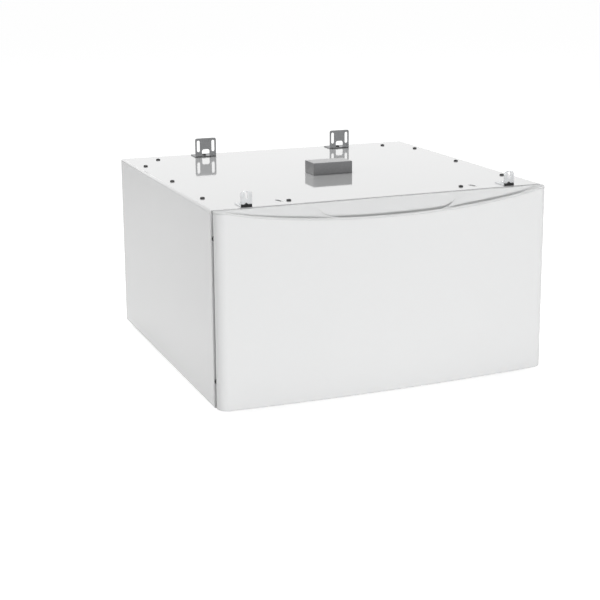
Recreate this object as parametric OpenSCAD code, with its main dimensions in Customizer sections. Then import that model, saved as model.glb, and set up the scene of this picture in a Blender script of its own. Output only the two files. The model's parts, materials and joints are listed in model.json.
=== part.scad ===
// Washer pedestal with one drawer, in millimetres.
// The origin is on the floor under the middle of the pedestal. The drawer front faces -Y.

/* [Pedestal] */
// Width over the cabinet's sides
pedestal_w = 685.8; // [640:0.1:740]
// Height of the deck that the washer stands on, above the floor
pedestal_h = 381; // [340:1:440]
// Depth from the back edge to the middle of the bowed drawer front
pedestal_d = 671.5; // [640:0.1:760]
// How far the middle of the drawer front stands ahead of the cabinet
front_reach = 41.5; // [36:0.5:60]
// Height of the cabinet's lower edge above the floor
floor_gap = 11; // [10:0.5:16]

/* [Cabinet sheet] */
// Thickness of the folded wrapper
sheet_t = 1.2; // [0.8:0.1:2]
// Outer radius of the wrapper's long folds
fold_r = 5; // [3:0.5:12]
// Width of the wrapper's flanges folded in at the front and back
return_w = 16; // [14:1:20]
// Width of the wrapper's flanges folded in along the bottom
skirt_w = 22; // [15:1:40]
// Thickness of the back panel
back_t = 1; // [0.8:0.1:2]
// How deep the back panel lies inside the wrapper's back edge
back_recess = 3.6; // [3:0.2:10]
// Depth of the pressed field in the back panel
back_press = 5; // [2:0.5:8]
// Width of the plain border round the pressed field
back_border = 46; // [35:1:80]
// Radius of the two curved slits in the deck
slit_r = 18; // [12:1:24]
// Width of the curved slits
slit_w = 1.8; // [1:0.1:3]

/* [Frame rails] */
// Thickness of the rails and posts
rail_t = 1.5; // [1:0.1:2.5]
// Width of the side base rails
base_rail_w = 66; // [56:1:80]
// Width of the front and rear base rails
cross_rail_w = 50; // [40:1:70]
// Height of the base rails
base_rail_h = 24; // [22:0.5:34]
// Width of the rails under the deck
top_rail_w = 40; // [32:1:44]
// Height of the rails under the deck
top_rail_h = 24; // [16:1:32]
// Width of the slide posts
post_w = 50; // [40:1:70]
// Depth of the slide posts, from the wrapper to the slide
post_d = 20; // [18:0.5:28]
// Distance of the posts from the ends of the slides
post_inset = 45; // [35:1:80]
// Width of the deck stiffeners without their flanges
stiffener_w = 44; // [30:1:60]
// Depth of the deck stiffeners
stiffener_h = 18; // [10:1:24]
// Width of each flange of the deck stiffeners
stiffener_flange = 13; // [8:1:20]
// Distance of the deck stiffeners from the middle
stiffener_x = 105; // [60:1:150]

/* [Screws] */
// Head diameter of the black deck screws
screw_head_d = 9; // [8:0.1:10]
// Head height of the deck screws
screw_head_h = 3; // [2:0.1:4]
// Shank diameter of the deck screws
screw_d = 4.6; // [3.5:0.1:5]
// Shank length of the deck screws
screw_l = 12; // [9:0.5:14]
// Head diameter of the small screws
small_head_d = 7.4; // [6.5:0.1:8.5]
// Head height of the small screws
small_head_h = 2.2; // [1.6:0.1:2.6]
// Shank diameter of the small screws
small_screw_d = 3.8; // [3:0.1:4.5]
// Shank length of the small screws
small_screw_l = 9; // [7:0.5:11]
// Distance of the side deck screws from the side
deck_screw_side = 22.9; // [20:0.1:26]
// Distance of the front deck screws from the cabinet's front
deck_screw_front = 33; // [28:0.5:40]
// Distance of the rear deck screws from the back edge
deck_screw_rear = 47; // [38:0.5:56]
// Distance of the front deck screws from the middle
deck_screw_front_x = 180; // [120:1:240]
// Distance of the rear deck screws from the middle
deck_screw_rear_x = 272; // [220:1:290]

/* [Levelling feet] */
// Diameter of the rubber foot pads
foot_d = 38; // [30:1:44]
// Height of the rubber foot pads
foot_h = 9; // [7:0.5:9.5]
// Diameter of the threaded stems
stem_d = 9.5; // [8:0.1:12]
// How far each foot screws out
foot_travel = 16; // [8:0.5:18]
// Distance of the feet from the cabinet's sides and from its front and back
foot_inset = 52; // [46:1:58]
// Width of the foot nuts across their flats
nut_w = 17; // [15:0.5:20]
// Height of the foot nuts
nut_h = 6.5; // [5:0.5:7]

/* [Drawer slides] */
// Length of the slides
slide_len = 508; // [450:1:540]
// Thickness of a closed slide
slide_t = 12.7; // [12.5:0.1:14]
// Height of a slide
slide_h = 45; // [40:1:50]
// Thickness of the slide members
member_t = 1.2; // [1:0.1:1.4]
// Diameter of the slide balls
ball_d = 2.6; // [2:0.1:3]
// Number of balls in each row
ball_count = 8; // [4:1:10]
// Length of the ball cages
cage_len = 200; // [120:1:240]
// Height of the slides above the drawer's lower edge
slide_rise = 95; // [60:1:150]
// Distance of the slides behind the cabinet's front
slide_setback = 10; // [6:0.5:20]

/* [Drawer box] */
// Thickness of the drawer's sides and back
box_t = 1; // [0.8:0.1:1.6]
// Thickness of the drawer's bottom
bottom_t = 1; // [0.8:0.1:1.6]
// Gap between the closed drawer front and the cabinet
drawer_gap = 6.5; // [4:0.5:7]
// Clear height between the foot stems and the drawer
stem_gap = 5; // [3:0.5:12]
// Clear height between the drawer box and the rails under the deck
head_gap = 36; // [10:1:80]
// Clear depth behind the drawer box
rear_gap = 64; // [60:1:120]
// Width of the folded flanges of the drawer's sides
box_flange = 14; // [12:1:18]
// Depth of the rolled rim along the top of the drawer's sides and back
box_rim = 10; // [8:1:16]
// Height of the pressed ribs in the drawer's bottom
rib_h = 3; // [2:0.2:4]
// Width of the pressed ribs in the drawer's bottom
rib_w = 12; // [8:1:20]
// Number of pressed ribs in the drawer's bottom
rib_count = 5; // [3:1:8]

/* [Drawer front] */
// How far the drawer front's sides stay inside the cabinet's sides
front_inset = 2.5; // [1:0.1:5]
// Height of the drawer front's lower edge above the floor
front_foot = 12; // [10:0.5:20]
// Radius of the bow across the drawer front
bow_r = 4170; // [3800:10:7000]
// Radius of the drawer front's upright corners
front_corner_r = 20; // [10:1:26]
// Thickness of the drawer front's steel skin
skin_t = 1.2; // [0.8:0.1:1.6]
// Thickness of the panel that closes the back of the drawer front
liner_t = 1; // [0.8:0.1:1.6]
// Width of the flanges along the back edges of the skin
skin_flange = 14; // [12:1:20]
// How far the front's upper edge dips in the middle
dip_h = 30.6; // [20:0.2:36]
// Distance from the middle to where the dip runs out
dip_half = 330; // [300:1:332]
// Height of the moulded grip's edge above the skin
grip_nose = 3.2; // [2.6:0.1:3.4]
// Height of the grip's edge at the corners
grip_edge = 3.5; // [3.5:0.1:6]
// Thickness of the moulded grip
grip_wall = 4; // [3:0.1:5]
// Width of the flat rim along the back of the grip
grip_rim = 6; // [4:0.5:7]
// Thickness of the lip that the fingers pull
grip_lip = 5; // [3.5:0.1:6]
// Distance from the lip to the lowest line of the grip
grip_trough = 5; // [3:0.5:7]
// Depth of the finger pocket below the lip
pocket_depth = 20; // [8:0.5:24]
// Distance from the middle to the ends of the finger pocket, at the lip
pocket_half = 105; // [80:1:120]
// Width of the sloping ends of the finger pocket
pocket_end = 27; // [15:1:40]
// Depth of the side hollows below the lip
wing_depth = 8; // [2:0.5:12]
// Width of the ridge between the pocket and each side hollow
ridge_w = 16; // [10:1:24]
// How much further out the ridges stand at the rim than at the lip
ridge_slant = 45; // [0:1:60]

/* [Brackets on the deck] */
// Width of the rear brackets
rear_bracket_w = 48; // [40:1:60]
// Height of the rear brackets
rear_bracket_h = 42; // [38:1:60]
// Length of the rear brackets' flanges
rear_bracket_l = 36; // [30:1:42]
// Distance of the rear brackets from the middle
rear_bracket_x = 162; // [140:1:200]
// Distance of the rear brackets' plates from the back edge
rear_bracket_y = 46; // [40:1:60]
// Thickness of the rear brackets
rear_bracket_t = 2; // [1.5:0.1:3]
// Length of the rear brackets' slots
rear_slot_l = 25.5; // [18:0.5:28]
// Width of the rear brackets' slots
rear_slot_w = 6.9; // [5:0.1:8]
// Width of the arched window in the rear brackets
arch_w = 17.6; // [14:0.1:20]
// Height of the arched window in the rear brackets
arch_h = 17; // [12:0.1:20]
// Radius of the window's upper corners
arch_r = 4.5; // [3:0.5:6]
// Width of the front brackets
front_bracket_w = 22; // [18:0.5:28]
// Height of the front brackets' plates above the deck
front_bracket_h = 29; // [24:0.5:34]
// Length of the front brackets' flanges
front_bracket_l = 37; // [30:0.5:45]
// Distance of the front brackets from the middle
front_bracket_x = 272; // [240:1:290]
// Distance of the front brackets behind the cabinet's front
front_bracket_y = 6; // [4:0.5:12]
// Thickness of the front brackets
front_bracket_t = 2; // [1.5:0.1:3]
// Length of the front brackets' slots
front_slot_l = 12.5; // [9:0.5:14]
// Width of the front brackets' slots
front_slot_w = 5; // [4.4:0.1:6]
// Thickness of the rubber pads on the front brackets' plates
pad_t = 2; // [1:0.5:3]
// Height of the rubber pads at their sides
pad_h = 5; // [3:0.5:7]

/* [Foam block] */
// Width of the foam block
foam_w = 86; // [60:1:120]
// Depth of the foam block
foam_d = 48; // [30:1:70]
// Height of the foam block
foam_h = 25; // [15:1:40]
// Distance of the foam block from the middle
foam_x = 8; // [-20:1:20]
// Distance of the foam block behind the cabinet's front
foam_y = 263; // [200:1:300]

/* [Hidden] */
$fn = 48;

// Overrun of every cut
cut = 1;
// Gap between pieces that are fitted together
fit = 0.3;
// Gap round the shank of a screw
screw_gap = 0.1;

enamel = [0.93, 0.93, 0.93];
steel = [0.72, 0.73, 0.75];
galvanized = [0.52, 0.53, 0.55];
zinc = [0.83, 0.84, 0.85];
black = [0.08, 0.08, 0.08];
rubber = [0.15, 0.15, 0.15];
foam = [0.46, 0.47, 0.48];

// Cabinet: half widths and the main planes
half_w = pedestal_w / 2;
inner_x = half_w - sheet_t;
back_y = pedestal_d / 2;
cab_y = front_reach - pedestal_d / 2;
deck_z = pedestal_h;
deck_under = deck_z - sheet_t;
skirt_top = floor_gap + sheet_t;
panel_y = back_y - back_recess - back_t;
rear_return_y = panel_y - sheet_t;
frame_y = cab_y + sheet_t;
frame_x = half_w - fold_r - fit;

// Frame: heights of the rails and the faces of the posts
base_top = skirt_top + base_rail_h;
rail_under = deck_under - top_rail_h;
side_rail_x = half_w - deck_screw_side;
front_rail_y = cab_y + deck_screw_front;
rear_rail_y = back_y - deck_screw_rear;
post_x = inner_x - post_d;
side_screw_y_shares = [0.1825, 0.4937, 0.8095];

// Feet: the weld nuts hang under the base rails, the lock nuts under them
foot_x = half_w - foot_inset;
foot_front_y = cab_y + foot_inset;
foot_rear_y = back_y - foot_inset;
weld_nut_z = base_top - rail_t - nut_h;
lock_nut_z = weld_nut_z - fit - nut_h;
stem_top = base_top + foot_travel;
stem_gap_r = 0.08;
socket_d = stem_d + 5;
socket_h = foot_h / 3;

// Slides: the places of the nested members, measured in from the post
slide_y = cab_y + slide_setback;
box_z = stem_top + stem_gap;
slide_z = box_z + slide_rise;
race = ball_d + 2 * fit;
outer_half = slide_h / 2;
middle_half = outer_half - member_t - race;
inner_half = middle_half - member_t - race;
outer_lip = 0.75 * slide_t;
middle_web = 0.36 * slide_t;
middle_lip = slide_t - member_t - fit;
inner_lip = 0.6 * slide_t;
cage_t = 0.6;
outer_cage_web = (member_t + middle_web - cage_t) / 2 + fit;
inner_cage_web = (middle_web + member_t + inner_lip - cage_t) / 2;
outer_ball_u = 0.58 * slide_t;
inner_ball_u = (inner_lip + middle_lip) / 2;
cage_inset = (slide_len - cage_len) / 2;
stub_l = 2.4 * member_t;
slide_head_h = 0.6 * member_t;

// Drawer box
box_x = post_x - slide_t;
box_y = cab_y - drawer_gap;
box_back = back_y - rear_gap;
box_top = rail_under - head_gap;
floor_z = box_z + box_t;
floor_top = floor_z + bottom_t;

// Drawer front: one bow and two upright corners, tangent to each other
front_x = half_w - front_inset;
bow_y = cab_y - front_reach + bow_r;
front_side_d = box_y - (bow_y - sqrt(bow_r * bow_r - front_x * front_x));
corner_r = min(front_corner_r, 0.9 * front_side_d);
corner_x = front_x - corner_r;
corner_y = bow_y - sqrt(pow(bow_r - corner_r, 2) - corner_x * corner_x);
corner_turn = asin(corner_x / (bow_r - corner_r));
flange_y = box_y - liner_t;
liner_top = deck_z - grip_wall - fit;
seam_gap = 0.3;
corner_steps = 6;
bow_steps = 56;

bumper_d = 0.7 * return_w;
bumper_h = drawer_gap - fit;

// Points of an arc
function arc(x, y, r, from, to, steps) =
    [for (i = [0:steps]) let (a = from + (to - from) * i / steps) [x + r * cos(a), y + r * sin(a)]];

// Outline of the drawer front from its right side to its left side, moved in by an inset
function front_path(inset) = concat(
    arc(corner_x, corner_y, corner_r - inset, 0, corner_turn - 90, corner_steps),
    [for (i = [1:bow_steps - 1])
        let (a = -90 + corner_turn * (1 - 2 * i / bow_steps))
        [(bow_r - inset) * cos(a), bow_y + (bow_r - inset) * sin(a)]],
    arc(-corner_x, corner_y, corner_r - inset, -90 - corner_turn, -180, corner_steps));

// Height of the skin's upper edge: a dip in the middle, level at the corners
function seam_z(x) = deck_z - max(grip_edge,
    abs(x) < dip_half ? dip_h * pow(1 - pow(x / dip_half, 2), 0.75) : 0);

// Height of the lip, and how deep the grip lies below it
function lip_z(x) = seam_z(x) + grip_nose;
function ease(v, from, to) = let (t = max(0, min(1, (v - from) / (to - from)))) t * t * (3 - 2 * t);
function trough_depth(x, t) = let (
    a = abs(x) - ridge_slant * (1 - t),
    pocket = pocket_depth * (1 - ease(a, pocket_half - pocket_end, pocket_half)),
    wing = wing_depth * ease(a, pocket_half + ridge_w, pocket_half + 3.6 * ridge_w)
        * (1 - ease(abs(x), 0.7 * dip_half, dip_half)))
    max(pocket, wing);

// Height of the scoop at a share of the way from the rim to its lowest line
function scoop_z(x, t) = deck_z + (lip_z(x) - trough_depth(x, t) - deck_z) * ease(t, 0, 1);

// Cross-section of the grip at one place along the front, as [y, z] points
scoop_steps = 10;
function grip_section(x, y_front) = let (
    depth = box_y - y_front,
    rim_y = box_y - min(grip_rim, depth / 4),
    lip_y = y_front + min(grip_lip, depth / 3),
    low_y = lip_y + min(grip_trough, depth / 6),
    z_lip = lip_z(x),
    z_low = scoop_z(x, 1),
    z_seam = seam_z(x) + seam_gap,
    in_corner = abs(x) > corner_x - fit,
    round_y = min(grip_nose - seam_gap, depth / 5) * 0.8,
    round_z = (grip_nose - seam_gap) * 0.8,
    step_y = y_front + min(skin_t + fit, depth / 8))
    concat(
        [[box_y, deck_z]],
        [for (i = [0:scoop_steps]) let (t = i / scoop_steps)
            [rim_y + (low_y - rim_y) * t, scoop_z(x, t)]],
        [[(lip_y + low_y) / 2, z_low + (z_lip - z_low) / 3],
         [lip_y, z_lip - (z_lip - z_low) / 20 - fit / 10]],
        [for (i = [0:3]) [y_front + round_y * (1 - sin(30 * i)), z_lip - round_z * (1 - cos(30 * i))]],
        [[y_front, z_seam],
         [step_y, z_seam - (in_corner ? seam_gap / 4 : 0)],
         [step_y + fit / 10, in_corner ? z_seam - seam_gap / 2 : min(z_seam - grip_wall, z_low - grip_wall)]],
        [for (i = [scoop_steps:-1:0]) let (t = i / scoop_steps)
            [rim_y + (low_y - rim_y) * t, in_corner ? z_seam - seam_gap / 2 : scoop_z(x, t) - grip_wall]],
        [[box_y, in_corner ? z_seam - seam_gap / 2 : deck_z - grip_wall]]);

// Closed solid through a row of cross-sections, given as rings of [x, y, z] points
module loft(rings) {
    count = len(rings[0]);
    last = len(rings) - 1;
    points = [for (ring = rings) each ring];
    sides = [for (i = [0:last - 1], k = [0:count - 1])
        let (a = i * count + k, b = i * count + (k + 1) % count)
        each [[a, b, b + count], [a, b + count, a + count]]];
    ends = [[for (k = [count - 1:-1:0]) k], [for (k = [0:count - 1]) last * count + k]];
    polyhedron(points = points, faces = concat(sides, ends), convexity = 8);
}

// Carries a piece made for the right-hand side (+X) to either side
module on_side(side) {
    if (side > 0)
        children();
    else
        mirror([1, 0, 0]) children();
}

// Stretches a flat X-Z outline along Y
module along_y(y0, y1) {
    translate([0, y1, 0]) rotate([90, 0, 0]) linear_extrude(y1 - y0) children();
}

// Block between two corners
module block(low, high) {
    translate(low) cube(high - low);
}

module round_rect(w, h, r) {
    square([w - 2 * r, h], center = true);
    square([w, h - 2 * r], center = true);
    for (sx = [-1, 1], sy = [-1, 1])
        translate([sx * (w / 2 - r), sy * (h / 2 - r)]) circle(r = r);
}

// Flat slot with round ends, upright
module slot_2d(w, l) {
    square([w, l - w], center = true);
    for (s = [-1, 1])
        translate([0, s * (l - w) / 2]) circle(d = w);
}

// Screw whose head stands on z = 0, with a cross recess
module pan_screw(head_d, head_h, shank_d, shank_l) {
    recess = head_d / 7;
    difference() {
        rotate_extrude()
            polygon([[0, -shank_l], [shank_d / 2, -shank_l], [shank_d / 2, 0], [head_d / 2, 0],
                [head_d / 2, head_h / 2], [head_d / 3, head_h], [0, head_h]]);
        for (turn = [0, 90])
            rotate(turn)
                block([-head_d / 4, -recess / 2, head_h / 2], [head_d / 4, recess / 2, head_h + cut]);
    }
}

module small_screw(shank_l) {
    pan_screw(small_head_d, small_head_h, small_screw_d, shank_l);
}

module hex_nut() {
    difference() {
        cylinder(d = nut_w / cos(30), h = nut_h, $fn = 6);
        translate([0, 0, -cut]) cylinder(r = stem_d / 2 + stem_gap_r, h = nut_h + 2 * cut);
    }
}

// Folded channel along X or Y, open below, with its web at the top
module channel(x0, x1, y0, y1, z0, z1, lengthwise) {
    difference() {
        block([x0, y0, z0], [x1, y1, z1]);
        if (lengthwise)
            block([x0 + rail_t, y0 - cut, z0 - cut], [x1 - rail_t, y1 + cut, z1 - rail_t]);
        else
            block([x0 - cut, y0 + rail_t, z0 - cut], [x1 + cut, y1 - rail_t, z1 - rail_t]);
    }
}

// Places of the ten screws in the deck
side_screw_places = [for (s = [-1, 1], share = side_screw_y_shares)
    [s * side_rail_x, cab_y + share * (back_y - cab_y)]];
front_screw_places = [for (s = [-1, 1]) [s * deck_screw_front_x, front_rail_y]];
rear_screw_places = [for (s = [-1, 1]) [s * deck_screw_rear_x, rear_rail_y]];
deck_screw_places = concat(side_screw_places, front_screw_places, rear_screw_places);

// Places of the brackets' screws
rear_plate_y = back_y - rear_bracket_y;
rear_fix_y = rear_plate_y + 0.35 * rear_bracket_l;
front_plate_y = cab_y + front_bracket_y;
front_fix_y = front_plate_y + 0.6 * front_bracket_l;
bracket_screw_places = concat(
    [for (s = [-1, 1]) [s * rear_bracket_x, rear_fix_y]],
    [for (s = [-1, 1]) [s * front_bracket_x, front_fix_y]]);

// Holes down through the deck and the rails under it
module deck_holes() {
    for (p = concat(deck_screw_places, bracket_screw_places))
        translate([p.x, p.y, deck_under - 2 * rail_t])
            cylinder(r = screw_d / 2 + screw_gap, h = sheet_t + 2 * rail_t + cut);
}

// The two curved slits beside the front deck screws
left_slit_share = [-1.83, 0];
right_slit_share = [0.61, -0.28];
slit_places = [[-deck_screw_front_x, front_rail_y] + left_slit_share * slit_r,
    [deck_screw_front_x, front_rail_y] + right_slit_share * slit_r];
module deck_slits() {
    for (p = slit_places)
        translate([p.x, p.y, deck_under - cut])
            linear_extrude(sheet_t + 2 * cut)
                polygon(concat(arc(0, 0, slit_r, -5, 50, 8), arc(0, 0, slit_r - slit_w, 50, -5, 8)));
}

// Places of the back panel's screws, as [x, z]
back_screw_x = inner_x - return_w / 2 + sheet_t / 2;
back_side_shares = [0.12, 0.5, 0.88];
back_row_shares = [-0.55, 0, 0.55];
back_side_places = [for (s = [-1, 1], share = back_side_shares)
    [s * back_screw_x, floor_gap + share * (deck_z - floor_gap)]];
back_top_places = [for (share = back_row_shares) [share * half_w, deck_under - return_w / 2]];
back_low_places = [for (share = back_row_shares) [share * half_w, skirt_top + base_rail_h / 2]];
back_screw_places = concat(back_side_places, back_top_places, back_low_places);

module back_holes() {
    for (p = back_screw_places)
        translate([p.x, back_y, p.y]) rotate([90, 0, 0])
            cylinder(r = small_screw_d / 2 + screw_gap, h = back_recess + back_t + sheet_t + 2 * rail_t);
}

// Inverted U: outline of the cabinet seen from the front, moved in by an inset
module wrapper_outline(inset) {
    translate([0, (deck_z + floor_gap) / 2])
        round_rect(pedestal_w - 2 * inset, deck_z - floor_gap - 2 * inset, fold_r - inset);
}

// Flange folded in round the sides and the top
module wrapper_return(y0) {
    along_y(y0, y0 + sheet_t)
        difference() {
            wrapper_outline(sheet_t / 2);
            translate([0, (deck_z - return_w + floor_gap - cut) / 2])
                square([2 * (half_w - return_w), deck_z - return_w - floor_gap + cut], center = true);
        }
}

module cabinet_wrapper() {
    color(enamel)
    difference() {
        union() {
            along_y(cab_y, back_y)
                difference() {
                    wrapper_outline(0);
                    wrapper_outline(sheet_t);
                    translate([0, floor_gap + sheet_t / 2])
                        square([2 * (half_w - skirt_w), 2 * sheet_t], center = true);
                }
            wrapper_return(cab_y);
            wrapper_return(rear_return_y);
        }
        deck_holes();
        deck_slits();
        back_holes();
    }
}

module back_panel() {
    x = inner_x - back_border;
    low = floor_gap + back_border;
    high = deck_under - back_border;
    color(enamel)
    difference() {
        union() {
            along_y(panel_y, panel_y + back_t) wrapper_outline(sheet_t + fit);
            block([-x, panel_y - back_press, low], [x, panel_y + back_t, high]);
        }
        block([back_t - x, panel_y - back_press + back_t, low + back_t],
            [x - back_t, panel_y + back_t + cut, high - back_t]);
        back_holes();
    }
}

module back_panel_screws() {
    color(steel)
    for (p = back_screw_places)
        translate([p.x, panel_y + back_t, p.y]) rotate([-90, 0, 0]) small_screw(small_screw_l);
}

// Long rail on the wrapper's bottom flange, with the holes for two feet
module base_side_rail(side) {
    color(galvanized)
    on_side(side)
        difference() {
            channel(frame_x - base_rail_w, frame_x, frame_y, rear_return_y, skirt_top, base_top, true);
            for (y = [foot_front_y, foot_rear_y])
                translate([foot_x, y, base_top - rail_t - cut])
                    cylinder(r = stem_d / 2 + 2 * stem_gap_r, h = rail_t + 2 * cut);
        }
}

module left_base_rail() base_side_rail(-1);
module right_base_rail() base_side_rail(1);

// Cross rail between the side base rails
module base_cross_rail(y0, y1) {
    x = frame_x - fit - base_rail_w;
    color(galvanized)
    difference() {
        channel(-x, x, y0, y1, skirt_top, base_top, false);
        back_holes();
    }
}

module front_base_rail() base_cross_rail(frame_y, frame_y + cross_rail_w);
module rear_base_rail() base_cross_rail(panel_y - cross_rail_w, panel_y);

// Cross rail under the deck
module top_cross_rail(y) {
    x = frame_x;
    color(galvanized)
    difference() {
        channel(-x, x, y - top_rail_w / 2, y + top_rail_w / 2, rail_under, deck_under, false);
        deck_holes();
    }
}

module front_top_rail() top_cross_rail(front_rail_y);
module rear_top_rail() top_cross_rail(rear_rail_y);

// Rail under the deck along one side, between the cross rails
top_y0 = front_rail_y + top_rail_w / 2 + fit;
top_y1 = rear_rail_y - top_rail_w / 2 - fit;
module top_side_rail(side) {
    x = min(frame_x, side_rail_x + top_rail_w / 2);
    color(galvanized)
    difference() {
        on_side(side) channel(x - top_rail_w, x, top_y0, top_y1, rail_under, deck_under, true);
        deck_holes();
    }
}

module left_top_rail() top_side_rail(-1);
module right_top_rail() top_side_rail(1);

// Hat section welded under the deck
module deck_stiffener(side) {
    w = stiffener_w / 2;
    color(galvanized)
    on_side(side)
        along_y(top_y0, top_y1)
            translate([stiffener_x, deck_under])
                difference() {
                    translate([-w - stiffener_flange, -stiffener_h])
                        square([2 * (w + stiffener_flange), stiffener_h]);
                    translate([rail_t - w, rail_t - stiffener_h]) square([2 * (w - rail_t), stiffener_h]);
                    for (s = [-1, 1])
                        translate([s * (w + stiffener_flange) - stiffener_flange, -stiffener_h - rail_t])
                            square([2 * stiffener_flange, stiffener_h]);
                }
}

module left_deck_stiffener() deck_stiffener(-1);
module right_deck_stiffener() deck_stiffener(1);

// Places of the slides' screws, as shares of the slide's height
slide_screw_shares = [-0.18, 0.18];
post_front_y = slide_y + post_inset;
post_rear_y = slide_y + slide_len - post_inset;

module slide_screw_holes(h) {
    for (y = [post_front_y, post_rear_y], share = slide_screw_shares)
        translate([post_x - member_t - cut, y, slide_z + share * slide_h]) rotate([0, 90, 0])
            cylinder(r = small_screw_d / 2 + screw_gap, h = h);
}

// Upright channel on the side wall that carries the slide, open towards the wall
module post(side, y) {
    color(galvanized)
    on_side(side)
        difference() {
            block([post_x, y - post_w / 2, base_top], [inner_x, y + post_w / 2, rail_under]);
            block([post_x + rail_t, y - post_w / 2 + rail_t, base_top - cut],
                [inner_x + cut, y + post_w / 2 - rail_t, rail_under + cut]);
            slide_screw_holes(member_t + rail_t + 2 * cut);
        }
}

module left_front_post() post(-1, post_front_y);
module left_rear_post() post(-1, post_rear_y);
module right_front_post() post(1, post_front_y);
module right_rear_post() post(1, post_rear_y);

// Slide member: a C outline with its web at u0 or u1, measured in from the post
module member_2d(u0, u1, half, web_first) {
    difference() {
        translate([u0, -half]) square([u1 - u0, 2 * half]);
        translate([web_first ? u0 + member_t : u0 - cut, member_t - half])
            square([u1 - u0 - member_t + cut, 2 * (half - member_t)]);
    }
}

// Stretches a slide outline, drawn inwards from the right-hand post, along the slide
module along_slide(side, y0, y1) {
    on_side(side)
        along_y(y0, y1)
            translate([post_x, slide_z]) mirror([1, 0]) children();
}

module slide_outer(side) {
    color(zinc)
    difference() {
        along_slide(side, slide_y, slide_y + slide_len) member_2d(0, outer_lip, outer_half, true);
        on_side(side) slide_screw_holes(member_t + 2 * cut);
    }
}

module slide_middle(side) {
    color(zinc)
    along_slide(side, slide_y, slide_y + slide_len)
        member_2d(middle_web, middle_lip, middle_half, true);
}

// Places of the two screws that hold the drawer on each inner member
box_screw_y_shares = [0.1, 0.9];
module box_screw_holes() {
    for (share = box_screw_y_shares)
        translate([box_x - box_t - cut, slide_y + share * slide_len, slide_z]) rotate([0, 90, 0])
            cylinder(r = small_screw_d / 2 + screw_gap, h = box_t + member_t + 2 * cut);
}

module slide_inner(side) {
    color(zinc)
    difference() {
        along_slide(side, slide_y, slide_y + slide_len)
            member_2d(inner_lip, slide_t, inner_half, false);
        on_side(side) box_screw_holes();
    }
}

module left_slide_outer() slide_outer(-1);
module right_slide_outer() slide_outer(1);
module left_slide_middle() slide_middle(-1);
module right_slide_middle() slide_middle(1);
module left_slide_inner() slide_inner(-1);
module right_slide_inner() slide_inner(1);

// Cage that keeps two rows of balls apart, with its balls
module ball_cage(side, web_u, lip_u, row_u, row_v) {
    y0 = slide_y + cage_inset;
    pitch = cage_len / ball_count;
    color(zinc)
    on_side(side) {
        difference() {
            along_y(y0, y0 + cage_len)
                translate([post_x, slide_z]) mirror([1, 0])
                    difference() {
                        translate([web_u, -row_v - cage_t / 2]) square([lip_u - web_u, 2 * row_v + cage_t]);
                        translate([web_u + cage_t, cage_t / 2 - row_v])
                            square([lip_u - web_u, 2 * row_v - cage_t]);
                    }
            for (i = [0:ball_count - 1])
                translate([post_x - row_u, y0 + (i + 0.5) * pitch, slide_z - row_v - cage_t])
                    cylinder(d = ball_d + fit, h = 2 * (row_v + cage_t));
        }
        for (i = [0:ball_count - 1], s = [-1, 1])
            translate([post_x - row_u, y0 + (i + 0.5) * pitch, slide_z + s * row_v]) sphere(d = ball_d);
    }
}

outer_row = (outer_half - member_t + middle_half) / 2;
inner_row = (middle_half - member_t + inner_half) / 2;
outer_cage_lip = outer_ball_u + ball_d;
inner_cage_lip = inner_ball_u + 0.7 * ball_d;
module left_outer_cage() ball_cage(-1, outer_cage_web, outer_cage_lip, outer_ball_u, outer_row);
module right_outer_cage() ball_cage(1, outer_cage_web, outer_cage_lip, outer_ball_u, outer_row);
module left_inner_cage() ball_cage(-1, inner_cage_web, inner_cage_lip, inner_ball_u, inner_row);
module right_inner_cage() ball_cage(1, inner_cage_web, inner_cage_lip, inner_ball_u, inner_row);

// Low-head screws that hold the slides on the posts
module slide_screws() {
    color(steel)
    for (side = [-1, 1], y = [post_front_y, post_rear_y], share = slide_screw_shares)
        on_side(side)
            translate([post_x - member_t, y, slide_z + share * slide_h]) rotate([0, -90, 0])
                pan_screw(small_head_d, slide_head_h, small_screw_d, small_screw_l);
}

module deck_screws() {
    color(black)
    for (p = deck_screw_places)
        translate([p.x, p.y, deck_z]) pan_screw(screw_head_d, screw_head_h, screw_d, screw_l);
}

// L-shaped bracket with two upright slots and an arched window
module rear_bracket(side) {
    corner = rear_bracket_w / 12;
    slot_x = rear_bracket_w * 0.352;
    slot_z = rear_bracket_h - 0.42 * rear_slot_l - 0.42 * rear_slot_w - corner;
    color(galvanized)
    translate([side * rear_bracket_x, rear_plate_y, deck_z])
        difference() {
            union() {
                along_y(0, rear_bracket_t)
                    intersection() {
                        round_rect(rear_bracket_w, 2 * rear_bracket_h, corner);
                        translate([-rear_bracket_w / 2, 0]) square([rear_bracket_w, rear_bracket_h]);
                    }
                block([-rear_bracket_w / 2, 0, 0], [rear_bracket_w / 2, rear_bracket_l, rear_bracket_t]);
            }
            along_y(-cut, rear_bracket_t + cut) {
                for (s = [-1, 1])
                    translate([s * slot_x, slot_z]) slot_2d(rear_slot_w, rear_slot_l);
                intersection() {
                    round_rect(arch_w, 2 * arch_h, arch_r);
                    translate([-arch_w / 2, rear_bracket_t]) square([arch_w, arch_h]);
                }
            }
            translate([0, rear_fix_y - rear_plate_y, -cut])
                cylinder(r = screw_d / 2 + screw_gap, h = rear_bracket_t + 2 * cut);
        }
}

module left_rear_bracket() rear_bracket(-1);
module right_rear_bracket() rear_bracket(1);

module rear_bracket_screws() {
    color(black)
    for (s = [-1, 1])
        translate([s * rear_bracket_x, rear_fix_y, deck_z + rear_bracket_t])
            pan_screw(screw_head_d, screw_head_h, screw_d, screw_l);
}

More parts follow.
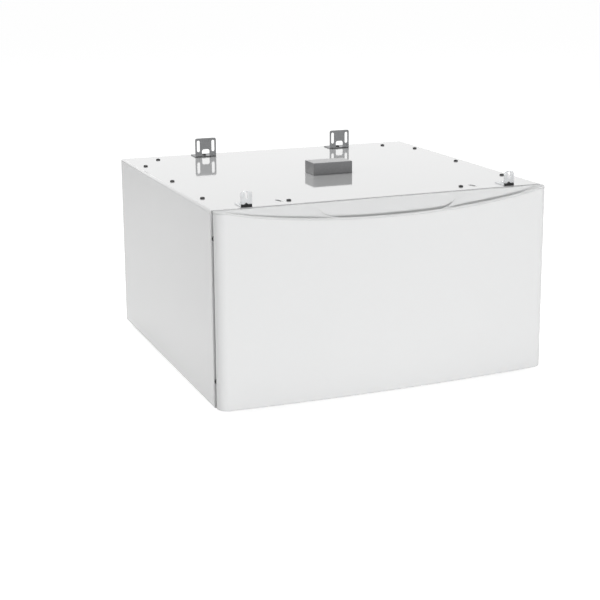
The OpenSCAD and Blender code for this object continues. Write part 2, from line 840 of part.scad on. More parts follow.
// Small L-shaped bracket with a round top and one upright slot
module front_bracket(side) {
    top_r = front_bracket_w / 3.4;
    slot_z = front_bracket_h - 0.62 * front_slot_l;
    color(zinc)
    translate([side * front_bracket_x, front_plate_y, deck_z])
        difference() {
            union() {
                along_y(0, front_bracket_t)
                    intersection() {
                        round_rect(front_bracket_w, 2 * front_bracket_h, top_r);
                        translate([-front_bracket_w / 2, 0]) square([front_bracket_w, front_bracket_h]);
                    }
                block([-front_bracket_w / 2, 0, 0], [front_bracket_w / 2, front_bracket_l, front_bracket_t]);
            }
            along_y(-cut, front_bracket_t + cut) translate([0, slot_z]) slot_2d(front_slot_w, front_slot_l);
            translate([0, front_fix_y - front_plate_y, -cut])
                cylinder(r = screw_d / 2 + screw_gap, h = front_bracket_t + 2 * cut);
        }
}

module left_front_bracket() front_bracket(-1);
module right_front_bracket() front_bracket(1);

// Low rubber pads on the plates' fronts, pointed in the middle
module front_bracket_pads() {
    w = 0.46 * front_bracket_w;
    color(rubber)
    for (s = [-1, 1])
        translate([s * front_bracket_x, front_plate_y, deck_z])
            along_y(-pad_t, 0)
                polygon([[-w, 0], [w, 0], [w, pad_h], [0.4 * w, 0.85 * pad_h], [0, 1.5 * pad_h],
                    [-0.4 * w, 0.85 * pad_h], [-w, pad_h]]);
}

// Washer-head screws
module front_bracket_screws() {
    washer_d = 1.5 * screw_head_d;
    washer_t = screw_head_h / 3;
    color(zinc)
    for (s = [-1, 1])
        translate([s * front_bracket_x, front_fix_y, deck_z + front_bracket_t]) {
            cylinder(d = washer_d, h = washer_t);
            translate([0, 0, washer_t])
                pan_screw(screw_head_d, screw_head_h, screw_d, screw_l + washer_t);
        }
}

// Rubber buttons on the front flange that the closed drawer rests against
bumper_x = half_w - return_w / 2;
bumper_z_shares = [0.14, 0.86];
module drawer_bumpers() {
    color(rubber)
    for (s = [-1, 1], share = bumper_z_shares)
        translate([s * bumper_x, cab_y, floor_gap + share * (deck_z - floor_gap)]) rotate([90, 0, 0])
            cylinder(d1 = bumper_d, d2 = 0.8 * bumper_d, h = bumper_h);
}

module foot_weld_nuts() {
    color(steel)
    for (x = [-foot_x, foot_x], y = [foot_front_y, foot_rear_y])
        translate([x, y, weld_nut_z]) hex_nut();
}

module foot_lock_nuts() {
    color(steel)
    for (x = [-foot_x, foot_x], y = [foot_front_y, foot_rear_y])
        translate([x, y, lock_nut_z]) hex_nut();
}

// Rubber foot with a socket for the stem's head
module foot_pad(x, y) {
    color(rubber)
    translate([x, y, 0])
        difference() {
            union() {
                cylinder(d = foot_d, h = foot_h / 2);
                translate([0, 0, foot_h / 2]) cylinder(d1 = foot_d, d2 = 0.72 * foot_d, h = foot_h / 2);
            }
            translate([0, 0, foot_h - socket_h]) cylinder(d = socket_d, h = socket_h + cut);
        }
}

// Threaded stem with a round head that sits in the pad
module foot_stem(x, y) {
    color(zinc)
    translate([x, y, foot_h - socket_h]) {
        cylinder(d = socket_d - fit, h = socket_h);
        cylinder(d = stem_d, h = stem_top - foot_h + socket_h);
    }
}

module front_left_pad() foot_pad(-foot_x, foot_front_y);
module front_left_stem() foot_stem(-foot_x, foot_front_y);
module front_right_pad() foot_pad(foot_x, foot_front_y);
module front_right_stem() foot_stem(foot_x, foot_front_y);
module rear_left_pad() foot_pad(-foot_x, foot_rear_y);
module rear_left_stem() foot_stem(-foot_x, foot_rear_y);
module rear_right_pad() foot_pad(foot_x, foot_rear_y);
module rear_right_stem() foot_stem(foot_x, foot_rear_y);

module foam_block() {
    color(foam)
    translate([foam_x - foam_w / 2, cab_y + foam_y, deck_z]) cube([foam_w, foam_d, foam_h]);
}

// Plan of the drawer front behind its outer face, as far back as a given plane
module front_plan(inset, back) {
    path = front_path(inset);
    polygon(concat([[front_x - inset, back]], path, [[inset - front_x, back]]));
}

// Places of the screws between the skin's flanges and the liner, as [x, z]
liner_screw_x = front_x - skin_t - skin_flange / 2;
liner_screw_shares = [0.06, 0.5, 0.92];
liner_screw_places = [for (s = [-1, 1], share = liner_screw_shares)
    [s * liner_screw_x, front_foot + share * (deck_z - front_foot)]];

module liner_screw_holes() {
    for (p = liner_screw_places)
        translate([p.x, box_y + cut, p.y]) rotate([90, 0, 0])
            cylinder(r = small_screw_d / 2 + screw_gap, h = liner_t + skin_t + 2 * cut);
}

// Bowed steel skin with folded sides, bottom and rear flanges
module drawer_front_skin() {
    seam = [for (p = front_path(0)) [p.x, seam_z(p.x)]];
    color(enamel)
    difference() {
        union() {
            translate([0, 0, front_foot])
                linear_extrude(deck_z - front_foot)
                    difference() {
                        front_plan(0, box_y);
                        front_plan(skin_t, box_y + cut);
                    }
            translate([0, 0, front_foot]) linear_extrude(skin_t) front_plan(skin_t / 2, flange_y);
            for (side = [-1, 1])
                on_side(side)
                    block([front_x - skin_t / 2 - skin_flange, flange_y - skin_t, front_foot],
                        [front_x - skin_t / 2, flange_y, liner_top]);
        }
        along_y(bow_y - bow_r - cut, box_y + cut)
            polygon(concat([[front_x + cut, deck_z + cut], [front_x + cut, seam_z(front_x)]], seam,
                [[-front_x - cut, seam_z(front_x)], [-front_x - cut, deck_z + cut]]));
        liner_screw_holes();
    }
}

// Moulded top of the drawer front: rim, side hollows, finger pocket and lip
module drawer_grip() {
    path = front_path(0);
    rings = [for (p = path) [for (q = grip_section(p.x, p.y)) [p.x, q.x, q.y]]];
    color(enamel) loft(rings);
}

// Places of the screws between the drawer box and the liner, as [x, z]
front_fix_x = box_x - box_t - box_flange / 2;
front_fix_shares = [0.15, 0.5, 0.85];
front_fix_places = [for (s = [-1, 1], share = front_fix_shares)
    [s * front_fix_x, box_z + share * (box_top - box_z)]];

module front_fix_holes() {
    for (p = front_fix_places)
        translate([p.x, box_y + box_t + cut, p.y]) rotate([90, 0, 0])
            cylinder(r = small_screw_d / 2 + screw_gap, h = box_t + liner_t + 2 * cut);
}

module drawer_front_liner() {
    x = front_x - skin_t - fit;
    press = liner_t;
    inset = 2 * box_flange + box_t + liner_screw_x - box_x + skin_flange;
    color(enamel)
    difference() {
        union() {
            block([-x, flange_y, front_foot + skin_t + fit], [x, box_y, liner_top]);
            block([-x + inset, flange_y - press, box_z + inset], [x - inset, box_y, box_top - inset]);
        }
        block([-x + inset + liner_t, flange_y - press + liner_t, box_z + inset + liner_t],
            [x - inset - liner_t, box_y + cut, box_top - inset - liner_t]);
        liner_screw_holes();
        front_fix_holes();
    }
}

module front_liner_screws() {
    color(steel)
    for (p = liner_screw_places)
        translate([p.x, box_y, p.y]) rotate([-90, 0, 0]) small_screw(small_screw_l);
}

module drawer_front_screws() {
    color(steel)
    for (p = front_fix_places)
        translate([p.x, box_y + box_t, p.y]) rotate([-90, 0, 0]) small_screw(small_screw_l);
    color(steel)
    for (side = [-1, 1], share = box_screw_y_shares)
        on_side(side)
            translate([box_x - box_t, slide_y + share * slide_len, slide_z]) rotate([0, -90, 0])
                small_screw(box_t + stub_l);
}

// Places of the rivets in the drawer's bottom
rivet_shares = [0.08, 0.36, 0.64, 0.92];
rivet_x = box_x - box_t - box_flange / 2;
rivet_places = [for (s = [-1, 1], share = rivet_shares) [s * rivet_x, box_y + share * (box_back - box_y)]];
rivet_d = small_screw_d;
rivet_head_h = small_head_h / 2;

module rivet_holes() {
    for (p = rivet_places)
        translate([p.x, p.y, box_z - cut])
            cylinder(r = rivet_d / 2 + screw_gap, h = box_t + bottom_t + 2 * cut);
}

module drawer_rivets() {
    color(steel)
    for (p = rivet_places)
        translate([p.x, p.y, 0]) {
            translate([0, 0, box_z - rivet_head_h]) cylinder(d = small_head_d, h = rivet_head_h);
            translate([0, 0, box_z - rivet_head_h / 2])
                cylinder(d = rivet_d, h = box_t + bottom_t + rivet_head_h);
            translate([0, 0, floor_top]) cylinder(d = 0.9 * small_head_d, h = rivet_head_h / 2);
        }
}

// Folded side of the drawer, with a rolled rim, a bottom flange and two end flanges
module drawer_side(side) {
    color(enamel)
    difference() {
        on_side(side) {
            along_y(box_y, box_back)
                difference() {
                    translate([box_x - box_flange, box_z]) square([box_flange, box_top - box_z]);
                    translate([box_x - box_flange - cut, box_z + box_t])
                        square([box_flange - box_t + cut, box_top - box_z - 2 * box_t]);
                    translate([box_x - box_flange - cut, box_top - 2 * box_t])
                        square([box_flange - box_rim + cut, 3 * box_t]);
                }
            block([box_x - box_rim, box_y, box_top - box_rim], [box_x - box_rim + box_t, box_back, box_top]);
            block([box_x - box_t / 2 - box_flange, box_y, box_z],
                [box_x - box_t / 2, box_y + box_t, box_top - box_rim - fit]);
            block([box_x - box_t / 2 - box_flange, box_back - box_t, box_z],
                [box_x - box_t / 2, box_back, box_top - box_rim - fit]);
        }
        on_side(side) box_screw_holes();
        front_fix_holes();
        rivet_holes();
    }
}

module drawer_left_side() drawer_side(-1);
module drawer_right_side() drawer_side(1);

// Back of the drawer, standing on its bottom, with a rolled rim
module drawer_back() {
    x = box_x - box_t - fit;
    rim_x = box_x - box_rim - fit;
    y = box_back - box_t;
    color(enamel) {
        block([-x, y - box_t, floor_top], [x, y, box_top - box_rim - fit]);
        block([-rim_x, y - box_t, box_top - box_rim - 2 * fit], [rim_x, y, box_top]);
        block([-rim_x, y - box_rim, box_top - box_t], [rim_x, y, box_top]);
        block([-rim_x, y - box_rim, box_top - box_rim], [rim_x, y - box_rim + box_t, box_top]);
    }
}

// Sheet bottom with pressed ribs, lying on the flanges of the sides
module drawer_bottom() {
    x = box_x - box_t - fit;
    y0 = box_y + box_t + fit;
    y1 = box_back - box_t - fit;
    margin = box_flange + rib_w;
    pitch = 2 * (x - margin) / rib_count;
    color(enamel)
    difference() {
        union() {
            block([-x, y0, floor_z], [x, y1, floor_top]);
            for (i = [0:rib_count - 1])
                rib(-x + margin + (i + 0.5) * pitch, y0 + 3 * margin, y1 - 3 * margin, 0);
        }
        for (i = [0:rib_count - 1])
            rib(-x + margin + (i + 0.5) * pitch, y0 + 3 * margin, y1 - 3 * margin, bottom_t);
        rivet_holes();
    }
}

// Pressed rib with sloping sides, drawn in by a wall
module rib(x, y0, y1, wall) {
    along_y(y0 + wall, y1 - wall)
        translate([x, floor_z - (wall > 0 ? cut : 0)])
            polygon([[wall - rib_w / 2, 0], [rib_w / 2 - wall, 0],
                [rib_w / 3 - wall, bottom_t + rib_h - wall + (wall > 0 ? cut : 0)],
                [wall - rib_w / 3, bottom_t + rib_h - wall + (wall > 0 ? cut : 0)]]);
}

cabinet_wrapper();
back_panel();
left_base_rail();
right_base_rail();
front_base_rail();
rear_base_rail();
front_top_rail();
rear_top_rail();
left_top_rail();
right_top_rail();
left_deck_stiffener();
right_deck_stiffener();
left_front_post();
left_rear_post();
right_front_post();
right_rear_post();
deck_screws();
back_panel_screws();
left_slide_outer();
right_slide_outer();
slide_screws();
left_rear_bracket();
right_rear_bracket();
rear_bracket_screws();
left_front_bracket();
right_front_bracket();
front_bracket_pads();
front_bracket_screws();
drawer_bumpers();
foot_weld_nuts();
foot_lock_nuts();
front_left_pad();
front_left_stem();
front_right_pad();
front_right_stem();
rear_left_pad();
rear_left_stem();
rear_right_pad();
rear_right_stem();
foam_block();
left_slide_middle();
right_slide_middle();
left_outer_cage();
right_outer_cage();
left_inner_cage();
right_inner_cage();
left_slide_inner();
right_slide_inner();
drawer_front_skin();
drawer_grip();
drawer_front_liner();
drawer_left_side();
drawer_right_side();
drawer_back();
drawer_bottom();
drawer_rivets();
drawer_front_screws();
front_liner_screws();
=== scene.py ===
# %% [markdown]
# # A laundry pedestal with one bowed drawer
# The object is a low white cabinet of folded sheet steel. A washer stands on its deck, and one wide
# drawer fills it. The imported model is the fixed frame: it says where every piece is and what moves.
# This file dresses it. Flat sheet pieces could be modelled again from nothing, but they are already
# right, so they are copied and get rounded edges. Only the bowed front, the moulded grip, the foam
# block, the feet and the fasteners are built anew, because their curves need more than the frame has.

# %% Load the frame
import json
import math

import bmesh
import bpy
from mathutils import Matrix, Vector, noise


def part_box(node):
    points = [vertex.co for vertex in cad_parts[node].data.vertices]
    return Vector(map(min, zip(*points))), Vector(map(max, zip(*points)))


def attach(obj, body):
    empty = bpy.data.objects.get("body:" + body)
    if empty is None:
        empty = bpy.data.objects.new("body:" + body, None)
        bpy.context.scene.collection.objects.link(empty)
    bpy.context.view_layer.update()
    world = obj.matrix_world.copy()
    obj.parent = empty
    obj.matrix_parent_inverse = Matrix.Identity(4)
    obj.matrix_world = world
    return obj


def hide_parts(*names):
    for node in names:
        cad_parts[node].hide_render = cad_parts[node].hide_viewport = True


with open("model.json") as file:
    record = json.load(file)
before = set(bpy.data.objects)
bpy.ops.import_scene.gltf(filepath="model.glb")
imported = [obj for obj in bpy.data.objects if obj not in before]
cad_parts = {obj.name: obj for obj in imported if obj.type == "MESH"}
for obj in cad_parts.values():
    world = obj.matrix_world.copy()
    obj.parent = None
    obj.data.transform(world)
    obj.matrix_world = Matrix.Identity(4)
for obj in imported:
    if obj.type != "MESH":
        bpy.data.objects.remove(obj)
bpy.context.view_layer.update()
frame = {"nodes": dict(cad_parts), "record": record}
MM = 0.001

# %% [markdown]
# ## Camera
# The picture was taken from the front left, a little above the deck, with a long lens that looks
# almost level. A lens shift keeps upright edges parallel, but a large shift would push the object out
# of every other view, so most of the tilt is the camera's own and only a small shift is left.

# %% Camera
CAMERA_PLACE = (-1.0396, -2.4650, 0.8370)
CAMERA_YAW, CAMERA_PITCH = math.radians(23.416), math.radians(12.125)
IMAGE_SIDE, FOCAL_PIXELS, SENSOR_MM = 600, 1306.6, 36.0

camera_data = bpy.data.cameras.new("photo_camera")
camera_data.sensor_width = SENSOR_MM
camera_data.lens = FOCAL_PIXELS * SENSOR_MM / IMAGE_SIDE
camera_data.shift_x, camera_data.shift_y = -0.06, -0.12
camera = bpy.data.objects.new("photo_camera", camera_data)
camera.location = CAMERA_PLACE
camera.rotation_euler = (math.pi / 2 - CAMERA_PITCH, 0, -CAMERA_YAW)
bpy.context.scene.collection.objects.link(camera)
bpy.context.scene.camera = camera
bpy.context.scene.view_settings.view_transform = "Standard"
print("lens", round(camera_data.lens, 2), "mm")

# %% [markdown]
# ## Floor, world and lamps
# A catalogue picture like this has a white sweep and large soft boxes. The floor's own colour is pale,
# and light that only the camera and mirror-like surfaces see lifts it to white, so the background is
# white and the object is lit at a plain level, and its soft shadow stays on the floor.

# %% Shader helpers
def node_in(tree, kind, **values):
    """Adds a node, and sets its attributes and, by name, its inputs."""
    node = tree.nodes.new(kind)
    for key, value in values.items():
        if hasattr(node, key):
            setattr(node, key, value)
        else:
            node.inputs[key.replace("_", " ")].default_value = value
    return node


def join(tree, *pairs):
    """Links outputs to inputs, given as pairs."""
    for output, target in pairs:
        tree.links.new(output, target)


def add_values(tree, first, second, operation="ADD", clamp=False):
    """Maths on two sockets or numbers."""
    node = tree.nodes.new("ShaderNodeMath")
    node.operation, node.use_clamp = operation, clamp
    for socket, value in zip(node.inputs, (first, second)):
        if isinstance(value, bpy.types.NodeSocket):
            tree.links.new(value, socket)
        else:
            socket.default_value = value
    return node.outputs[0]


def mirror_rays(tree, path):
    """1 on rays that a glossy surface or glass sends on."""
    glossy, through = path.outputs["Is Glossy Ray"], path.outputs["Is Transmission Ray"]
    return add_values(tree, glossy, through, clamp=True)


def seen_and_mirrored(tree, for_camera, for_mirror):
    """Strength that only the camera, and reflections and glass, see."""
    path = tree.nodes.new("ShaderNodeLightPath")
    return add_values(tree, add_values(tree, path.outputs["Is Camera Ray"], for_camera, "MULTIPLY"),
                      add_values(tree, mirror_rays(tree, path), for_mirror, "MULTIPLY"))


# %% Floor
FLOOR_HALF = 30.0
FLOOR_COLOUR = (0.80, 0.80, 0.80, 1)
FLOOR_LIFT_SEEN, FLOOR_LIFT_MIRRORED = 0.84, 0.40

floor_mesh = bpy.data.meshes.new("studio_floor")
floor_mesh.from_pydata([(-FLOOR_HALF, -FLOOR_HALF, 0), (FLOOR_HALF, -FLOOR_HALF, 0),
                        (FLOOR_HALF, FLOOR_HALF, 0), (-FLOOR_HALF, FLOOR_HALF, 0)], [], [(0, 1, 2, 3)])
floor = bpy.data.objects.new("studio_floor", floor_mesh)
bpy.context.scene.collection.objects.link(floor)
floor_paint = bpy.data.materials.new("studio_floor_paint")
floor_paint.use_nodes = True
tree = floor_paint.node_tree
tree.nodes.clear()
matt = node_in(tree, "ShaderNodeBsdfDiffuse", Color=FLOOR_COLOUR)
lift = node_in(tree, "ShaderNodeEmission", Color=(1, 1, 1, 1))
both = tree.nodes.new("ShaderNodeAddShader")
end = tree.nodes.new("ShaderNodeOutputMaterial")
join(tree, (seen_and_mirrored(tree, FLOOR_LIFT_SEEN, FLOOR_LIFT_MIRRORED), lift.inputs["Strength"]),
     (matt.outputs[0], both.inputs[0]), (lift.outputs[0], both.inputs[1]), (both.outputs[0], end.inputs[0]))
floor_mesh.materials.append(floor_paint)

# %% World and lamps
WORLD_LOW, WORLD_HIGH, WORLD_SEEN, WORLD_MIRRORED = 0.42, 0.10, 1.0, 1.0
LAMPS = {
    # name: place, point aimed at, width, height, power, and whether gloss mirrors it. The two low ones
    # are kept out of reflections, because a flat lacquered front would show them as bright panes.
    "low_front_softbox": ((0.6, -4.4, 0.32), (0, 0, 0.2), 4.0, 0.6, 112, False),
    "top_softbox": ((-0.3, 0.8, 3.4), (0, 0, 0.2), 2.4, 2.4, 58, True),
    "left_softbox": ((-3.6, -0.6, 1.0), (0, 0, 0.2), 1.8, 1.8, 17, False),
}

world = bpy.data.worlds.new("studio_world")
world.use_nodes = True
bpy.context.scene.world = world
tree = world.node_tree
sky = tree.nodes["Background"]
direction = tree.nodes.new("ShaderNodeTexCoord").outputs["Generated"]
split = tree.nodes.new("ShaderNodeSeparateXYZ")
fill = node_in(tree, "ShaderNodeMapRange", From_Min=0.0, From_Max=0.9, To_Min=WORLD_LOW, To_Max=WORLD_HIGH)
path = tree.nodes.new("ShaderNodeLightPath")
special = add_values(tree, path.outputs["Is Camera Ray"], mirror_rays(tree, path), clamp=True)
plain = add_values(tree, 1.0, special, "SUBTRACT")
light = add_values(tree, fill.outputs["Result"], plain, "MULTIPLY")
seen = seen_and_mirrored(tree, WORLD_SEEN, WORLD_MIRRORED)
join(tree, (direction, split.inputs[0]), (split.outputs["Z"], fill.inputs["Value"]),
     (add_values(tree, seen, light), sky.inputs["Strength"]))
sky.inputs["Color"].default_value = (1, 1, 1, 1)

for name, (place, aim, wide, tall, power, mirrored) in LAMPS.items():
    data = bpy.data.lights.new(name, "AREA")
    data.shape, data.size, data.size_y, data.energy = "RECTANGLE", wide, tall, power
    lamp = bpy.data.objects.new(name, data)
    lamp.visible_glossy = mirrored
    lamp.location = place
    lamp.rotation_euler = (Vector(aim) - Vector(place)).to_track_quat("-Z", "Y").to_euler()
    bpy.context.scene.collection.objects.link(lamp)
    print("lamp", name, wide, "x", tall, "m, power", power, "W")

# %% [markdown]
# ## Effects that several finishes share
# Each is a node group with named inputs. They only put out colours and values, so the shader itself
# stays in its material, where an exporter can read it.
#
# - soft mottle: paint, plastic and metal are never one flat colour, so a slow noise shifts the colour.
# - ripple: sprayed enamel has a fine orange peel, and mouldings a finer grain.
# - brushing: rolled sheet and drawn wire have fine lines along one direction.

# %% Group helper
def shader_group(name, inputs, outputs):
    """A shader node group with its sockets, and its input and output nodes."""
    group = bpy.data.node_groups.new(name, "ShaderNodeTree")
    for label, kind, value in inputs:
        socket = group.interface.new_socket(label, in_out="INPUT", socket_type="NodeSocket" + kind)
        if value is not None:
            socket.default_value = value
    for label, kind in outputs:
        group.interface.new_socket(label, in_out="OUTPUT", socket_type="NodeSocket" + kind)
    return group, group.nodes.new("NodeGroupInput"), group.nodes.new("NodeGroupOutput")


# %% Soft mottle
mottle_group, entry, leave = shader_group(
    "soft_mottle",
    [("Vector", "Vector", None), ("Colour", "Color", (0.8, 0.8, 0.8, 1)), ("Scale", "Float", 12.0),
     ("Change", "Float", 0.02)],
    [("Colour", "Color"), ("Value", "Float")])
cloud = node_in(mottle_group, "ShaderNodeTexNoise", Detail=4.0, Roughness=0.55)
shift = add_values(mottle_group, add_values(mottle_group, cloud.outputs["Fac"], 0.5, "SUBTRACT"),
                   entry.outputs["Change"], "MULTIPLY")
brighter = mottle_group.nodes.new("ShaderNodeHueSaturation")
join(mottle_group, (entry.outputs["Vector"], cloud.inputs["Vector"]),
     (entry.outputs["Scale"], cloud.inputs["Scale"]),
     (entry.outputs["Colour"], brighter.inputs["Color"]),
     (add_values(mottle_group, shift, 1.0), brighter.inputs["Value"]),
     (brighter.outputs["Color"], leave.inputs["Colour"]), (cloud.outputs["Fac"], leave.inputs["Value"]))

# %% Ripple
ripple_group, entry, leave = shader_group(
    "ripple", [("Vector", "Vector", None), ("Scale", "Float", 500.0), ("Waviness", "Float", 0.2)],
    [("Height", "Float")])
peel = node_in(ripple_group, "ShaderNodeTexNoise", Detail=2.0)
wave = node_in(ripple_group, "ShaderNodeTexNoise", Scale=9.0, Detail=1.0)
waves = add_values(ripple_group, wave.outputs["Fac"], entry.outputs["Waviness"], "MULTIPLY")
join(ripple_group, (entry.outputs["Vector"], peel.inputs["Vector"]),
     (entry.outputs["Scale"], peel.inputs["Scale"]), (entry.outputs["Vector"], wave.inputs["Vector"]),
     (add_values(ripple_group, peel.outputs["Fac"], waves), leave.inputs["Height"]))

# %% Brushing
brush_group, entry, leave = shader_group(
    "brushing",
    [("Vector", "Vector", None), ("Along", "Vector", (20.0, 900.0, 900.0))],
    [("Value", "Float")])
stretch = node_in(brush_group, "ShaderNodeVectorMath", operation="MULTIPLY")
lines = node_in(brush_group, "ShaderNodeTexNoise", Scale=1.0, Detail=3.0)
join(brush_group, (entry.outputs["Vector"], stretch.inputs[0]), (entry.outputs["Along"], stretch.inputs[1]),
     (stretch.outputs[0], lines.inputs["Vector"]), (lines.outputs["Fac"], leave.inputs["Value"]))

# %% [markdown]
# ## Finishes
# White enamel is a glossy coat over a glossy base, which is why the brackets mirror so clearly in the
# deck. The grip is a moulding in a slightly darker white than the enamel, and that darker tone is painted
# shade for its scoop. Frame and rear brackets are galvanized sheet with a mottled grey bloom; slides,
# small screws and stems are bright zinc. Screws in the deck are black.

# %% Finish helper
def finish(name, colour, roughness, change=0.02, scale=12.0, rough_change=0.05, bump=None, **shader):
    """A Principled material whose colour and roughness drift over the piece, with an optional bump."""
    material = bpy.data.materials.new(name)
    material.use_nodes = True
    tree = material.node_tree
    surface = tree.nodes["Principled BSDF"]
    for label, value in shader.items():
        surface.inputs[label.replace("_", " ")].default_value = value
    place = tree.nodes.new("ShaderNodeTexCoord").outputs["Object"]
    mottle = tree.nodes.new("ShaderNodeGroup")
    mottle.node_tree = mottle_group
    mottle.inputs["Colour"].default_value = (*colour, 1)
    mottle.inputs["Scale"].default_value = scale
    mottle.inputs["Change"].default_value = change
    centred = add_values(tree, mottle.outputs["Value"], 0.5, "SUBTRACT")
    drift = add_values(tree, centred, rough_change, "MULTIPLY")
    join(tree, (place, mottle.inputs["Vector"]), (mottle.outputs["Colour"], surface.inputs["Base Color"]),
         (add_values(tree, drift, roughness), surface.inputs["Roughness"]))
    if bump:
        group, values, strength, depth = bump
        pattern = tree.nodes.new("ShaderNodeGroup")
        pattern.node_tree = group
        for label, value in values.items():
            pattern.inputs[label].default_value = value
        relief = node_in(tree, "ShaderNodeBump", Strength=strength, Distance=depth)
        join(tree, (place, pattern.inputs["Vector"]), (pattern.outputs[0], relief.inputs["Height"]),
             (relief.outputs["Normal"], surface.inputs["Normal"]))
    return material


# %% The finishes
FINISHES = {
    "white_enamel": finish(
        "white_enamel", (0.83, 0.835, 0.835), 0.07, change=0.02, scale=3.0, rough_change=0.03,
        bump=(ripple_group, {"Scale": 420.0, "Waviness": 4.0}, 0.25, 0.000012),
        IOR=1.6, Coat_Weight=1.0, Coat_Roughness=0.03, Coat_IOR=1.6),
    # The moulding's base colour is darker than the enamel's: painted shade for the grip's scoop.
    "white_moulding": finish(
        "white_moulding", (0.775, 0.78, 0.78), 0.3, change=0.02, scale=8.0, rough_change=0.03,
        bump=(ripple_group, {"Scale": 900.0, "Waviness": 1.0}, 0.3, 0.00001), IOR=1.5),
    "galvanized_steel": finish(
        "galvanized_steel", (0.30, 0.304, 0.31), 0.42, change=0.6, scale=420.0, rough_change=0.3,
        Metallic=1.0,
        bump=(ripple_group, {"Scale": 800.0, "Waviness": 0.5}, 0.4, 0.00003)),
    "bright_zinc": finish(
        "bright_zinc", (0.71, 0.72, 0.73), 0.20, change=0.08, scale=60.0, rough_change=0.06, Metallic=1.0,
        bump=(brush_group, {"Along": (30.0, 40.0, 1500.0)}, 0.2, 0.00002)),
    "black_screw": finish(
        "black_screw", (0.018, 0.018, 0.019), 0.36, change=0.3, scale=200.0, rough_change=0.2, Metallic=0.4),
    "black_rubber": finish(
        "black_rubber", (0.012, 0.012, 0.013), 0.62, change=0.5, scale=150.0, rough_change=0.2,
        bump=(ripple_group, {"Scale": 1200.0, "Waviness": 0.5}, 0.5, 0.00005)),
    "grey_foam": finish(
        "grey_foam", (0.15, 0.152, 0.156), 0.42, change=0.35, scale=260.0, rough_change=0.2,
        bump=(ripple_group, {"Scale": 650.0, "Waviness": 1.5}, 0.25, 0.00008), IOR=1.5,
        Coat_Weight=1.0, Coat_Roughness=0.12, Coat_IOR=1.45),
}
SLOT_OF = {row["node"]: row["material_slot"] for row in frame["record"]["subparts"]}
for node, slot in SLOT_OF.items():
    materials = frame["nodes"][node].data.materials
    materials.clear()
    materials.append(FINISHES[slot])
print("finishes", sorted(FINISHES))

# %% [markdown]
# ## Helpers for pieces
# A piece rides on the body of the node that it stands for, replaces that node and takes its slot. Its
# object stays at the origin, and its place is in its mesh.

# %% Piece helpers
BODY_OF = {node: body for body, nodes in frame["record"]["behaviour"]["bodies"].items() for node in nodes}


def add_piece(name, mesh, node):
    """Links a finished mesh as the piece that stands for a node."""
    mesh.materials.clear()
    mesh.materials.append(FINISHES[SLOT_OF[node]])
    piece = bpy.data.objects.new(name, mesh)
    bpy.context.scene.collection.objects.link(piece)
    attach(piece, BODY_OF[node])
    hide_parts(node)
    return piece


def smooth_below(mesh, degrees):
    """Smooth shading, apart from edges that turn by more than an angle."""
    mesh.polygons.foreach_set("use_smooth", [True] * len(mesh.polygons))
    mesh.set_sharp_from_angle(angle=math.radians(degrees))


def mesh_from(name, points, faces, smooth=None):
    """A mesh whose faces point outwards."""
    work = bmesh.new()
    corners = [work.verts.new(p) for p in points]
    for face in faces:
        work.faces.new([corners[i] for i in face])
    bmesh.ops.recalc_face_normals(work, faces=work.faces)
    mesh = bpy.data.meshes.new(name)
    work.to_mesh(mesh)
    work.free()
    if smooth:
        smooth_below(mesh, smooth)
    return mesh


def loft_faces(ring_count, ring_size, first=0):
    """Faces of a closed skin through rings of points, with both ends capped."""
    faces = []
    for i in range(ring_count - 1):
        for k in range(ring_size):
            a, b = first + i * ring_size + k, first + i * ring_size + (k + 1) % ring_size
            faces.append((a, b, b + ring_size, a + ring_size))
    faces.append(tuple(first + k for k in range(ring_size)))
    faces.append(tuple(first + (ring_count - 1) * ring_size + k for k in reversed(range(ring_size))))
    return faces


# %% [markdown]
# ## Sheet metal
# Cabinet, rails and drawer box are folded and punched sheet. The frame's solids have the right outlines
# but knife-sharp edges. Each is copied, its loose triangles are merged into flat faces, and every sharp
# edge is bevelled: a little for a cut edge, more where the sheet is really folded.

# %% Rounded copies
SAME_POINT, FLAT_ANGLE, SHARP_ANGLE = 0.002 * MM, math.radians(0.4), math.radians(35)


def rounded_copy(node, edge, fold=0.0, is_fold=None, steps=2):
    """A copy of a node with bevelled edges; edges that is_fold picks get the larger radius."""
    work = bmesh.new()
    work.from_mesh(frame["nodes"][node].data)
    bmesh.ops.remove_doubles(work, verts=work.verts, dist=SAME_POINT)
    bmesh.ops.dissolve_limit(work, angle_limit=FLAT_ANGLE, verts=work.verts, edges=work.edges)
    sharp = [e for e in work.edges if len(e.link_faces) == 2 and e.calc_face_angle(0) > SHARP_ANGLE]
    folds = [e for e in sharp if is_fold and all(is_fold(v.co) for v in e.verts)]
    cut = list(set(sharp) - set(folds))
    if folds:
        bmesh.ops.bevel(work, geom=folds, offset=fold, segments=5, profile=0.5, affect="EDGES")
        cut = [e for e in cut if e.is_valid]
    bmesh.ops.bevel(work, geom=cut, offset=edge, segments=steps, profile=0.5, affect="EDGES")
    mesh = bpy.data.meshes.new(node + "_sheet")
    work.to_mesh(mesh)
    work.free()
    return add_piece(node + "_sheet", mesh, node)


EDGE_OF_SHEET = 0.25 * MM
SHEET_NODES = [
    "left_slide_outer", "right_slide_outer", "left_slide_middle", "right_slide_middle",
    "left_slide_inner", "right_slide_inner", "left_base_rail", "right_base_rail",
    "front_base_rail", "rear_base_rail", "drawer_back", "drawer_left_side", "drawer_right_side",
    "drawer_bottom", "drawer_front_liner", "back_panel"]
for node in SHEET_NODES:
    piece = rounded_copy(node, EDGE_OF_SHEET)
    print(piece.name, len(piece.data.polygons), "faces")

# %% [markdown]
# ## Brackets
# Each bracket is a strip of sheet, punched flat and then bent up. They are made the same way here: the
# flat pattern is filled between its outline and its holes and gets a thickness with rounded rims, and
# then every point is carried round the bend. So a window that crosses the bend bends with it.

